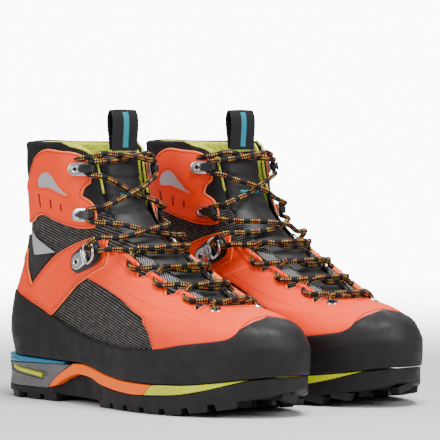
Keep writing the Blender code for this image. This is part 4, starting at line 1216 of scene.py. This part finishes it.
def lining_height(t, z):
    """The lining lies well inside the last, and closer to it beside the tongue."""
    near_front = np.clip((np.abs(t) - 0.72) / 0.1, 0, 1) * np.clip((z - 146) / 10, 0, 1)
    top = np.clip((z - 190) / 12, 0, 1)
    return -5.3 + 3.2 * near_front * (1 - 0.3 * top) - 0.8 * top + collar_lean(t, z) - 0.25 * np.sin(z * 0.35)


spots, quads, uv = wall(lambda t: feather(t) + 3.4, lambda t: 202.6 + 0 * t, LINING_THROAT, 70, 241,
                        lining_height)
spots, quads, uv = weld(spots, quads, uv)
lining = on_both("lining_knit", spots, quads, lime_knit, "lime_lining", "ankle", ["lining"], uv=uv)
thickened(lining, LINING_WALL)

# ---------------------------------------------------------------- the tongue and its pull loop
# A padded softshell tongue with sewn channels and a smooth shield where the lace presses.
# A folded tape stands on its top edge to pull the boot on; it carries a plain teal stripe.
TONGUE_LEAN = 1.3
TONGUE_PATTERN = [(0, 196.5), (12, 197), (20, 198), (25, 196), (26, 160), (33, 142), (37, 130), (32, 110),
                  (22, 91), (12, 84), (0, 83)]
CHANNELS = (176.0, 152.0, 136.0, 124.0, 113.0, 103.0)


def tongue_relief(a, z, depth):
    """Padding between sewn channels, and a flat raised shield near the top."""
    puff = 1.5 * np.clip((depth - 1) / 6, 0, 1)
    for channel in CHANNELS:
        puff = puff - 0.95 * np.exp(-((z - channel) / 1.7) ** 2)
    shield = np.clip((19 - np.abs(a)) / 0.8, 0, 1) * np.clip((7.5 - np.abs(z - 185)) / 0.5, 0, 1)
    return np.minimum(puff, 1.7) * (1 - shield) + 1.75 * shield


panel("tongue_padding", cut(mirrored(TONGUE_PATTERN), 2.2, TONGUE_LEAN), from_front, (-7.4, -4.0), soft_black,
      "black_softshell", "ankle", ["tongue"], lean=TONGUE_LEAN, relief=tongue_relief, edge=2.5)

teal_thread, tree, shader = new_finish("teal_woven_mark", (0.0, 0.20, 0.27), 0.7)
parts = add(tree, "ShaderNodeSeparateXYZ", {0: in_millimetres(tree)})
weft = calc(tree, "SINE", calc(tree, "MULTIPLY", parts.outputs[2], 9.0))
colour_by(tree, shader, ramp(tree, weft, -1, 1), (0.0, 0.13, 0.18), (0.0, 0.26, 0.34))
bump(tree, shader, weft, 0.3, 0.1)
bar = [(-11, 162.4), (11, 162.4), (11, 165.6), (-11, 165.6)]
panel("tongue_mark", cut(bar, 1.5, rims=(0.2,), step=1.0), from_front, (-3.2, -2.1), teal_thread,
      "black_softshell", "cuff", edge=0.3)

LOOP_X, LOOP_Z = 110.0, 206.0              # the place from which the pull loop's side-view line is drawn
TAPE_HALF_WIDTH, TAPE_THICKNESS = 13.5, 1.5
STRIPE_HALF_WIDTH, STRIPE_THICKNESS, STRIPE_LIFT = 3.0, 0.5, 1.05
tape = curved([(4.0, -9), (3.9, -3), (4.6, 5), (5.0, 12), (4.4, 18.5), (2.6, 22.4), (0.4, 22.4), (-1.2, 18.5),
               (-1.4, 11), (-0.6, 5), (0.6, -2), (1.4, -8)], 0.8, closed_line=False)


def tape_strip(line, half_width, thickness, sag=0.5, lift=0.0):
    """A flat tape that follows a side-view line, with rounded selvedges."""
    way = np.gradient(line, axis=0)
    way /= np.linalg.norm(way, axis=1, keepdims=True)
    out = np.stack([way[:, 1], -way[:, 0]], 1)
    across = np.linspace(-1, 1, 25)
    loops = []
    selvedge = np.clip((np.abs(across) - 0.93) / 0.07, 0, 1)
    half = thickness / 2 * np.sqrt(np.clip(1 - selvedge ** 2, 0.05, 1))
    middle = sag * (1 - across ** 2) + lift
    for (x, z), (ox, oz) in zip(line + (LOOP_X, LOOP_Z), out):
        faces_of_tape = [[(x + ox * h, half_width * y, z + oz * h) for y, h in zip(across, heights)]
                         for heights in (middle + half, middle - half)]
        loops.append(faces_of_tape[0] + faces_of_tape[1][::-1])
    return loft(loops)


black_tape, tree, shader = new_finish("black_tape", (0.009, 0.0085, 0.0095), 0.75, specular_ior_level=0.25)
spot = add(tree, "ShaderNodeSeparateXYZ", {0: in_millimetres(tree)})
twill = calc(tree, "SINE", calc(tree, "ADD", calc(tree, "MULTIPLY", spot.outputs[1], 5.0),
                                calc(tree, "MULTIPLY", spot.outputs[2], 5.0)))
colour_by(tree, shader, ramp(tree, twill, -1, 1), (0.006, 0.0055, 0.0065), (0.016, 0.015, 0.0165))
bump(tree, shader, twill, 0.4, 0.15)
spots, faces = tape_strip(tape, TAPE_HALF_WIDTH, TAPE_THICKNESS)
on_both("pull_loop_tape", spots, faces, black_tape, "black_softshell", "loop", ["pull_loop"], sharp=50)
spots, faces = tape_strip(tape[3:len(tape) // 2 - 1], STRIPE_HALF_WIDTH, STRIPE_THICKNESS, 0.02, STRIPE_LIFT)
on_both("pull_loop_stripe", spots, faces, teal_thread, "black_softshell", "loop", sharp=50)

# ---------------------------------------------------------------- the throat's webbing facings
# Ribbed grey webbing lies along both edges of the throat, under the pointed flaps.
# It is sewn to the shell and spreads the pull of the lace.
ribbed, tree, shader = new_finish("ribbed_webbing", (0.12, 0.125, 0.13), 0.75)
rib = calc(tree, "SINE", calc(tree, "MULTIPLY", turned_pattern(tree, -24)[0], 4.2))
colour_by(tree, shader, ramp(tree, rib, -0.1, 0.9), (0.010, 0.010, 0.011), (0.30, 0.30, 0.30))
bump(tree, shader, rib, 0.6, 0.3)
WEBBING_LEAN = 1.8
WEBBING_PATTERN = [(24.8, 113), (36.3, 116.5), (36, 110), (32, 101), (28.5, 94), (25.5, 88.5), (22.5, 85),
                   (17, 85.5), (19.5, 92), (22, 101), (24.5, 110)]
for where, side in SIDES.items():
    net = cut(to_side(WEBBING_PATTERN, side), 2.5, WEBBING_LEAN, (0.3, 0.8))
    panel(f"webbing_facing_{where}", net, from_front, (0.3, 1.3), ribbed, "grey_webbing", "lowers",
          [f"webbing_{where}"], lean=WEBBING_LEAN, edge=0.5)

# ---------------------------------------------------------------- the hooks
# Open lace hooks: a polished steel plate riveted through the cuff, bent up at the throat end and
# back over the lace as a black lacquered tongue. The edges are worn bright.
HARDWARE = 3.0             # the height of the metal parts' feet over the last
LACE_RADIUS = 2.1
HOOKS = {"upper": (37.0, 182.5, 0.0), "lower": (45.0, 147.0, 0.0)}
LIP_UNDER = 1.2 + 2 * LACE_RADIUS + 2 * GAP
HALF_ROUND = np.linspace(pi / 2, 3 * pi / 2, 9)


def stand(points, v, z, tilt=0.0, height=HARDWARE):
    """Turns points made flat at the origin onto the last: +X towards the throat, +Z out."""
    t = float(from_front(v, z))
    round_way, up, out = axes_at(t, z)
    ahead = round_way * (cos(tilt) if v > 0 else -cos(tilt)) + up * sin(tilt)
    across = np.cross(out, ahead)
    points = np.asarray(points, float)
    return place(t, z, height) + points[:, :1] * ahead + points[:, 1:2] * across + points[:, 2:] * out


def fitted(shapes, *seat):
    """Closed shapes made flat at the origin, stood on the last as one piece."""
    return together([(stand(points, *seat), faces) for points, faces in shapes])


steel, tree, shader = new_finish("polished_steel", (0.60, 0.60, 0.61), 0.24, metallic=1.0)
spot = in_millimetres(tree)
scuff = ramp(tree, grain(tree, spot, 4.0, 4.0), 0.45, 0.75)
roughness_by(tree, shader, scuff, 0, 1, 0.20, 0.42)
colour_by(tree, shader, scuff, (0.66, 0.66, 0.67), (0.50, 0.50, 0.52))
bump(tree, shader, grain(tree, spot, 1.5), 0.06, 0.03)
lacquer, tree, shader = new_finish("black_lacquer", (0.012, 0.012, 0.013), 0.32, metallic=0.2)
spot = in_millimetres(tree)
worn = ramp(tree, grain(tree, spot, 1.2, 4.0), 0.62, 0.75)
colour_by(tree, shader, worn, (0.011, 0.011, 0.012), (0.09, 0.09, 0.095))
roughness_by(tree, shader, grain(tree, spot, 3.0), 0.3, 0.7, 0.26, 0.42)


def plate(outline, thickness, low=0.0, bevel=0.35, holes=()):
    """A flat metal plate with rounded edges and punched round holes: points and faces."""
    ring = curved(outline, 0.6)
    if (ring[:, 0] * np.roll(ring[:, 1], -1) - np.roll(ring[:, 0], -1) * ring[:, 1]).sum() < 0:
        ring = ring[::-1]
    borders = [ring]
    for x, y, r in holes:
        a = np.linspace(0, -2 * pi, 21)[:-1]
        borders.append(np.stack([x + r * np.cos(a), y + r * np.sin(a)], 1))
    levels = [(0.0, bevel), (bevel * 0.3, bevel * 0.29), (bevel, 0.0), (thickness - bevel, 0.0),
              (thickness - bevel * 0.3, bevel * 0.29), (thickness, bevel)]
    bm = bmesh.new()
    caps = {0: [], len(levels) - 1: []}
    for border in borders:
        way = inwards(border) if border is ring else -inwards(border)
        rows = []
        for k, (z, inset) in enumerate(levels):
            rows.append([bm.verts.new((*(p + w * inset), low + z)) for p, w in zip(border, way)])
            if k in caps:
                caps[k].append(rows[-1])
        for row, after in zip(rows, rows[1:]):
            for n in range(len(row)):
                m = (n + 1) % len(row)
                bm.faces.new((row[n], row[m], after[m], after[n]))
    for rings in caps.values():
        edges = [bm.edges.get((row[n], row[(n + 1) % len(row)])) for row in rings for n in range(len(row))]
        bmesh.ops.triangle_fill(bm, edges=edges, use_beauty=True)
    return closed(bm, 0.0005)


def turned_shape(profile, centre):
    """A round part turned about an upright axis from its (radius, height) profile."""
    loops = []
    for a in np.linspace(0, 2 * pi, 25)[:-1]:
        loops.append([(centre[0] + r * cos(a), centre[1] + r * sin(a), h) for r, h in profile])
    bm = bmesh.new()
    rings = [[bm.verts.new(p) for p in loop] for loop in loops]
    for here, after in zip(rings, rings[1:] + rings[:1]):
        for n in range(len(profile) - 1):
            bm.faces.new((here[n], after[n], after[n + 1], here[n + 1]))
    return closed(bm, 0.0005)


def folded_strip(path, widths, thickness):
    """A strip of metal along a side-view path whose half width changes on the way."""
    line = np.asarray(path, float)
    way = np.gradient(line, axis=0)
    way /= np.linalg.norm(way, axis=1, keepdims=True)
    out = np.stack([-way[:, 1], way[:, 0]], 1) * thickness / 2
    loops = []
    r = 0.3
    for p, o, w in zip(line, out, widths):
        half = [(-1, w - r), (-0.5, w), (0.5, w), (1, w - r)]
        section = half + [(s, -y) for s, y in reversed(half)]
        loops.append([(p[0] + o[0] * s, y, p[1] + o[1] * s) for s, y in section])
    return loft(loops)


def hook_shapes():
    """The hook's plate, its rivet's rim and well, and its bent lip."""
    outline = [(7, -4.9), (7, 4.9)] + [(-8 + 5 * cos(a), 5 * sin(a)) for a in HALF_ROUND]
    base = plate(outline, 1.15, holes=[(-7.6, 0, 1.5)])
    rim = turned_shape([(1.45, 0.9), (1.6, 1.75), (2.2, 2.05), (2.9, 1.75), (3.0, 1.0)], (-7.6, 0))
    well = turned_shape([(0, 0.2), (1.9, 0.25), (1.9, 0.7), (0, 0.6)], (-7.6, 0))
    bend = np.linspace(-pi / 2, pi / 2, 9)
    middle = (0.6 + LIP_UNDER + 0.8) / 2
    reach = middle - 0.6
    path = [(3.0, 0.75), (5.0, 0.7)] + [(5.4 + 2.7 * cos(a), middle + reach * sin(a)) for a in bend]
    path += [(x, LIP_UNDER + rise) for x, rise in ((4.0, 0.85), (1.0, 0.9), (-2.0, 0.75), (-3.6, 0.5))]
    widths = [4.2, 3.4] + list(2.2 + 0.9 * np.abs(np.sin(bend)) ** 3) + [3.3, 3.4, 3.2, 2.4]
    return base, rim, well, folded_strip(path, widths, 1.2)


base, rim, well, lip = hook_shapes()
for where, side in SIDES.items():
    for level, (v, z, tilt) in HOOKS.items():
        spots, faces = fitted((base, rim), side * v, z, tilt)
        on_both(f"{level}_hook_plate_{where}", spots, faces, steel, "polished_steel", "cuff",
                [f"{level}_hook_{where}"], sharp=35)
        spots, faces = fitted((lip, well), side * v, z, tilt)
        on_both(f"{level}_hook_lip_{where}", spots, faces, lacquer, "polished_steel", "cuff", sharp=35)

# ---------------------------------------------------------------- the lock plates and rings
# Below the ankle a riveted steel plate holds a D ring on a bar; the ring clamps the lace.
# A black rubber pad lies under both, with a raised dome inside the ring.
LOCK = (88.0, 113.0, radians(24))
RING_AXIS = (6.5, 3.0)
RING_REACH, RING_HALF, RING_WIRE, RING_LIFT = 15.0, 7.5, 1.1, radians(15)
pad_rubber, tree, shader = new_finish("pad_rubber", (0.008, 0.0075, 0.0085), 0.42)
spot = in_millimetres(tree)
roughness_by(tree, shader, grain(tree, spot, 3.0), 0.3, 0.7, 0.34, 0.5)
bump(tree, shader, grain(tree, spot, 0.5), 0.2, 0.06)


def round_bar(x, z, wide, tall, half_widths, sides):
    """A straight bar across the plate, round in side view."""
    a = np.linspace(0, 2 * pi, sides + 1)[:-1]
    return loft([[(x + wide * cos(q), y, z + tall * sin(q)) for q in a] for y in half_widths])


def pad_shapes():
    rear = [(-6.5 + 8.6 * cos(a), 8.6 * sin(a)) for a in HALF_ROUND]
    front = [(14.5 - 9.4 * cos(a), -9.4 * sin(a)) for a in HALF_ROUND]
    base = plate([*rear, *front], 1.5, low=-0.6, bevel=0.6)
    dome = turned_shape([(0, 0.6), (6.2, 0.6), (6.6, 1.6), (5.6, 3.0), (3.4, 4.0), (0, 4.4)], (15.2, 0))
    return base, dome


def ring_line():
    """The middle line of the ring's wire: straight on the bar, round where the lace runs."""
    arc = np.linspace(-pi / 2, pi / 2, 17)
    front = [(RING_REACH - 6 + 6 * cos(a), (RING_HALF - 6) * np.sign(a) + 6 * sin(a)) for a in arc]
    flat = [(0.0, 5.4), (0.0, 0.0), (0.0, -5.4), (0.9, -7.0), (3.0, -RING_HALF)] + front
    flat += [(3.0, RING_HALF), (0.9, 7.0)]
    return [(RING_AXIS[0] + a * cos(RING_LIFT), b, RING_AXIS[1] + a * sin(RING_LIFT))
            for a, b in curved(flat, 0.7)]


def plate_shapes():
    """The steel plate, its rivet, the barrel round the ring's bar, and the bead across the plate."""
    outline = [(4, -5.6), (4, 5.6)] + [(-6 + 6.2 * cos(a), 6.2 * sin(a)) for a in HALF_ROUND]
    sheet = plate(outline, 1.3, low=0.9, bevel=0.4, holes=[(-6.2, 0, 1.7)])
    rivet = turned_shape([(1.6, 1.4), (1.8, 2.5), (2.5, 2.8), (3.3, 2.5), (3.5, 1.7)], (-6.2, 0))
    barrel = round_bar(*RING_AXIS, 2.5, 2.5, np.linspace(-2.7, 2.7, 5), 16)
    return sheet, rivet, barrel, round_bar(2.2, 2.3, 0.9, 0.8, (-6.4, -6.0, 6.0, 6.4), 12)


v, z, tilt = LOCK
for where, side in SIDES.items():
    seat = (side * v, z, tilt)
    spots, faces = fitted(pad_shapes(), *seat)
    on_both(f"lock_pad_{where}", spots, faces, pad_rubber, "black_rubber", "lowers", sharp=45)
    spots, faces = fitted(plate_shapes(), *seat)
    on_both(f"lock_plate_steel_{where}", spots, faces, steel, "polished_steel", "lowers",
            [f"lock_plate_{where}"], sharp=35)
    wire, faces, facts = tube(ring_line(), RING_WIRE, 10, ring=True)
    on_both(f"lock_ring_steel_{where}", stand(wire, *seat), faces, steel, "polished_steel",
            f"ring_{where}", [f"lock_ring_{where}"], **facts)

# ---------------------------------------------------------------- the lace
# A round braided cord, black with groups of orange and yellow flecks, threaded all the way up.
# It runs under the rolled flaps beside the throat, through the lock rings and round the hooks.
LOOPS = [(30.3, 86.7), (36.3, 99.2), (41.5, 112.6)]
EYELET = (25.0, 76.8)
FLAP_TURN_HEIGHT = 3.4
HOOK_TURN = 2.2 + GAP + LACE_RADIUS + 0.2
CROSS_AT, UNDER, OVER, EDGE_RISE = 8.0, 1.5, 6.8, 5.4
LACE_END = ((20, 194.6, 4.6), (28, 192.9, 6.0), (35, 191.6, 5.6), (40, 191, 3.6), (44, 190.6, 0.3))


def turns(side):
    """The lace's turn at each level on one side, from its lower strand to its upper one."""
    made = []
    for v, z in LOOPS:
        shape = [(5.5, 9.5 * side, 1.6), (1.2, 6.6 * side, 0.4), (0, 4 * side, 0), (0, -4 * side, 0),
                 (1.2, -6.6 * side, 0.4), (5.5, -9.5 * side, 1.6)]
        made.append(stand(shape, side * v, z, 0, FLAP_TURN_HEIGHT))
    bar = RING_AXIS[0] + RING_REACH * cos(RING_LIFT)
    rise = RING_AXIS[1] + RING_REACH * sin(RING_LIFT)
    apart = RING_WIRE + LACE_RADIUS + GAP + 0.6
    slant = apart * 0.74
    in_ring = [(bar + 9, 4.6, rise - apart + 0.3), (bar + 1, 2.6, rise - apart),
               (bar - slant, 1.2, rise - slant), (bar - apart, 0, rise), (bar - slant, -1.2, rise + slant),
               (bar + 1, -2.6, rise + apart), (bar + 9, -4.6, rise + 1.8)]
    level = 1.2 + GAP + LACE_RADIUS
    in_hook = [(14, HOOK_TURN + 1, level), (6, HOOK_TURN, level), (2.6, HOOK_TURN * 0.7, level),
               (5.6 - HOOK_TURN - 0.4, 0, level), (2.6, -HOOK_TURN * 0.7, level), (6, -HOOK_TURN, level),
               (14, -HOOK_TURN - 1, level)]
    for (v, z, tilt), shape in ((LOCK, in_ring), (HOOKS["lower"], in_hook), (HOOKS["upper"], in_hook)):
        made.append(stand([(a, b * side, c) for a, b, c in shape], side * v, z, tilt))
    return made


def nearest_place(point):
    """Signed distance from the front centre line, and height, of the last's nearest place."""
    v, z = np.meshgrid(np.arange(-80, 80.1, 0.5), np.arange(point[2] - 9, point[2] + 9, 0.5))
    away = np.linalg.norm(on_last(from_front(v, z), z) - point, axis=-1)
    k = np.unravel_index(np.argmin(away), away.shape)
    return v[k], z[k]


def crossing(start, end, height):
    """Points that carry the lace over the throat's edges and the tongue between two turns."""
    (va, za), (vb, zb) = nearest_place(start), nearest_place(end)
    made = []
    inner_a = np.sign(va) * min(CROSS_AT, 0.35 * abs(va))
    inner_b = np.sign(vb) * min(CROSS_AT, 0.35 * abs(vb))
    for v, h in ((0.66 * va, EDGE_RISE), (inner_a, height), (inner_b, height), (0.66 * vb, EDGE_RISE)):
        z = za + (zb - za) * (v - va) / (vb - va)
        made.append(place(from_front(v, z), z, h))
    return made


def lace_route():
    """The whole lace: down one strand from its end, across the toe, and up the other."""
    outer, inner = turns(1), turns(-1)
    strands = []
    for first in (0, 1):
        route = []
        for level in range(len(outer)):
            here = (outer, inner)[(first + level) % 2][level]
            if route:
                route += crossing(route[-1], here[0], OVER if (first + level) % 2 else UNDER)
            else:
                side = 1 if here is outer[0] else -1
                v, z = EYELET
                route = [place(from_front(-side * (v - a), z + b), z + b, h)
                         for a, b, h in ((3, -0.5, -2.0), (0.2, -0.1, 0.6), (-0.2, 1.0, 3.6), (3, 2.4, 5.6))]
                route += crossing(route[-1], here[0], OVER if first else 4.2)
            route += list(here)
        side = 1 if here is outer[-1] else -1
        end = [place(from_front(-side * v, z), z, h) for v, z, h in LACE_END]
        route += crossing(route[-1], end[0], UNDER if first else OVER) + end
        strands.append(route)
    toe = [place(from_front(v, 76.3), 76.3, -2.6) for v in (9, -9)]
    if strands[0][0][1] < 0:
        toe = toe[::-1]
    return np.array(strands[0][::-1] + toe + strands[1])


def flowing(points):
    """A smooth line through points that neither loops nor overshoots."""
    gaps = np.sqrt(np.linalg.norm(np.diff(points, axis=0), axis=1))
    when = np.concatenate([[0], np.cumsum(gaps)])
    way = np.gradient(points, when, axis=0)
    line = []
    for k, gap in enumerate(gaps):
        count = max(2, int(gap * gap) + 1)
        f = np.linspace(0, 1, count)[:-1, None]
        line.append((1 + 2 * f) * (1 - f) ** 2 * points[k] + f * (1 - f) ** 2 * gap * way[k]
                    + f * f * (3 - 2 * f) * points[k + 1] + f * f * (f - 1) * gap * way[k + 1])
    return np.concatenate(line + [points[-1:]])


BRAID_BLACK = (0.008, 0.0075, 0.0085)
braid, tree, shader = new_finish("flecked_braid", BRAID_BLACK, 0.75, specular_ior_level=0.25)
parts = add(tree, "ShaderNodeSeparateXYZ", {0: flat_pattern(tree)})
along = calc(tree, "MULTIPLY", parts.outputs[0], 100.0)
round_it = calc(tree, "MULTIPLY", parts.outputs[1], 100 * 5 / (2 * pi * LACE_RADIUS))
lay_length = calc(tree, "MULTIPLY", along, 0.55)
strands = [calc(tree, "SINE", calc(tree, "MULTIPLY", calc(tree, way, lay_length, round_it), pi))
           for way in ("ADD", "SUBTRACT")]
lattice = calc(tree, "MULTIPLY", *strands)
group = calc(tree, "PINGPONG", along, 6.6)
flecked = calc(tree, "MULTIPLY", ramp(tree, lattice, 0.2, 0.55), ramp(tree, group, 2.2, 2.7))
turn_about = ramp(tree, calc(tree, "SINE", calc(tree, "MULTIPLY", along, 0.86)), -0.1, 0.1)
fleck = blend_colours(tree, turn_about, (0.62, 0.15, 0.02), (0.66, 0.42, 0.05))
colour_by(tree, shader, flecked, BRAID_BLACK, fleck)
bump(tree, shader, calc(tree, "ABSOLUTE", lattice), 0.6, 0.3)
spots, faces, facts = tube(flowing(lace_route()), LACE_RADIUS, 12)
on_both("lace_braid", spots, faces, braid, "lace_cord", "ankle", ["lace"], **facts)

# ---------------------------------------------------------------- the toe eyelets
# The lowest pair of holes is two black eyelets with a steel rim, pressed through the vamp.
# The lace's short toe strand runs between them, hidden under the vamp.
eyelet_steel = turned_shape([(2.9, 0.0), (3.3, 0.7), (4.0, 0.8), (4.6, 0.0)], (0, 0))
eyelet_black = turned_shape([(0, 0.1), (2.6, 0.15), (2.9, 0.6), (3.0, 0.1), (3.0, -0.4), (0, -0.4)], (0, 0))
for where, side in SIDES.items():
    seat = (side * EYELET[0], EYELET[1], 0, OVERLAY[1] + 0.1)
    for shape, finish, word in ((eyelet_steel, steel, "rim"), (eyelet_black, lacquer, "hole")):
        on_both(f"toe_eyelet_{word}_{where}", stand(shape[0], *seat), shape[1], finish, "polished_steel",
                "lowers", sharp=40)

# ---------------------------------------------------------------- the stitching
# Lock stitches in a darker orange thread run two millimetres inside every edge of the panels.
# The strap and the reflector have lines of their own, and black parts are sewn in black.
def thread_finish(name, colour):
    made, tree, shader = new_finish(name, colour, 0.6)
    twist = grain(tree, in_millimetres(tree), 0.3)
    colour_by(tree, shader, twist, tuple(0.75 * c for c in colour), colour)
    return made


orange_thread = thread_finish("orange_thread", (0.50, 0.035, 0.006))
black_thread = thread_finish("black_thread", (0.014, 0.014, 0.015))


def stitch_tree():
    """Sets one thread bead at each step along the seams, lying along them."""
    tree, given = geometry_tree("stitches", Length="Float", Thread="Float", Finish="Material")
    lines = add(tree, "GeometryNodeMeshToCurve", {"Mesh": given["Geometry"]})
    step = calc(tree, "MULTIPLY", given["Length"], 1.35)
    even = add(tree, "GeometryNodeResampleCurve", {"Curve": lines.outputs[0], "Length": step}, mode="LENGTH")
    bead = add(tree, "GeometryNodeMeshUVSphere", {"Segments": 6, "Rings": 4, "Radius": 0.5})
    tangent = add(tree, "GeometryNodeInputTangent")
    turned = add(tree, "FunctionNodeAlignRotationToVector", {"Vector": tangent.outputs[0]}, axis="X")
    upright = {"Rotation": turned.outputs[0], "Vector": point_value(tree, "out")}
    settled = add(tree, "FunctionNodeAlignRotationToVector", upright, axis="Z", pivot_axis="X")
    size = add(tree, "ShaderNodeCombineXYZ", {0: given["Length"], 1: given["Thread"], 2: given["Thread"]})
    return set_on_points(tree, even.outputs[0], bead.outputs[0], settled.outputs[0], size.outputs[0],
                         given["Finish"])


def inset_runs(outline, depth, lean=1.0):
    """Lines that follow a pattern's edge a set distance inside it."""
    ring = curved([(a, z * lean) for a, z in outline])
    row = ring + inwards(ring) * depth
    keep = distance_in(row, ring) > depth * 0.96
    runs, run = [], []
    for point, good in zip(row, keep):
        if good and (not run or np.linalg.norm(point - run[-1]) < 4):
            run.append(point)
        else:
            runs.append(run)
            run = [point] if good else []
    runs.append(run)
    return [np.array(run) / (1, lean) for run in runs if len(run) > 3]


def on_panel(runs, share_of, height, relief=None):
    """Places flat lines on the last, each with its points and the way out of the surface."""
    made = []
    for run in runs:
        a, z = np.asarray(run, float).T
        t = share_of(a, z)
        h = np.full(len(a), height) if relief is None else height + relief(a, z, np.full(len(a), 2.0))
        made.append((place(t, z, h), axes_at(t, z)[2]))
    return made


def both_sides(line):
    return [to_side(curved(line, closed_line=False), side) for side in SIDES.values()]


sewing = stitch_tree()


STITCH_LENGTH, THREAD_WIDTH = 2.0 * MM, 0.75 * MM


def sew(name, runs, body, finish=orange_thread):
    """Stitches along runs of points, as one piece on each boot."""
    for word, boot in BOOTS.items():
        spots, outs, edges, start = [], [], [], 0
        for points, out in runs:
            spots.append(to_world(points, boot))
            outs.append(to_world(points + out, boot) - spots[-1])
            edges += [(start + k, start + k + 1) for k in range(len(points) - 1)]
            start += len(points)
        mesh = bpy.data.meshes.new(name)
        mesh.from_pydata(np.concatenate(spots).tolist(), edges, [])
        held = mesh.attributes.new("out", "FLOAT_VECTOR", "POINT")
        held.data.foreach_set("vector", np.concatenate(outs).astype(np.float32).ravel())
        where = body if body == "lowers" else f"{word}_{body}"
        baked(f"{word}_{name}", mesh, sewing,
              {"Length": STITCH_LENGTH, "Thread": THREAD_WIDTH, "Finish": finish}, where)


SEAM_INSET, SECOND_SEAM = 2.0, 4.2
REFLECTOR_EDGE = [tuple(p) for p in REFLECTOR_RING - inwards(REFLECTOR_RING) * 1.6]
cuff_lines = inset_runs(mirrored(CUFF_PATTERN), SEAM_INSET) + both_sides(REFLECTOR_EDGE + REFLECTOR_EDGE[:1])
sew("cuff_stitches", on_panel(cuff_lines, from_back, OVERLAY[1] - 0.12), "cuff")
quarter_edge = mirrored(QUARTER_PATTERN)
quarter_lines = inset_runs(quarter_edge, SEAM_INSET) + inset_runs(quarter_edge, SECOND_SEAM)
sew("quarter_stitches", on_panel(quarter_lines, from_back, OVERLAY[1] - 0.05), "lowers")
seam_lines = inset_runs(mirrored(VAMP_PATTERN), SEAM_INSET, VAMP_LEAN) + both_sides(VAMP_SEAM)
sew("vamp_stitches", on_panel(seam_lines, from_front, OVERLAY[1], vamp_relief), "lowers")
heel_lines = inset_runs(mirrored(HEEL_PATTERN), SEAM_INSET)
sew("heel_stitches", on_panel(heel_lines, from_back, 1.85), "lowers", black_thread)
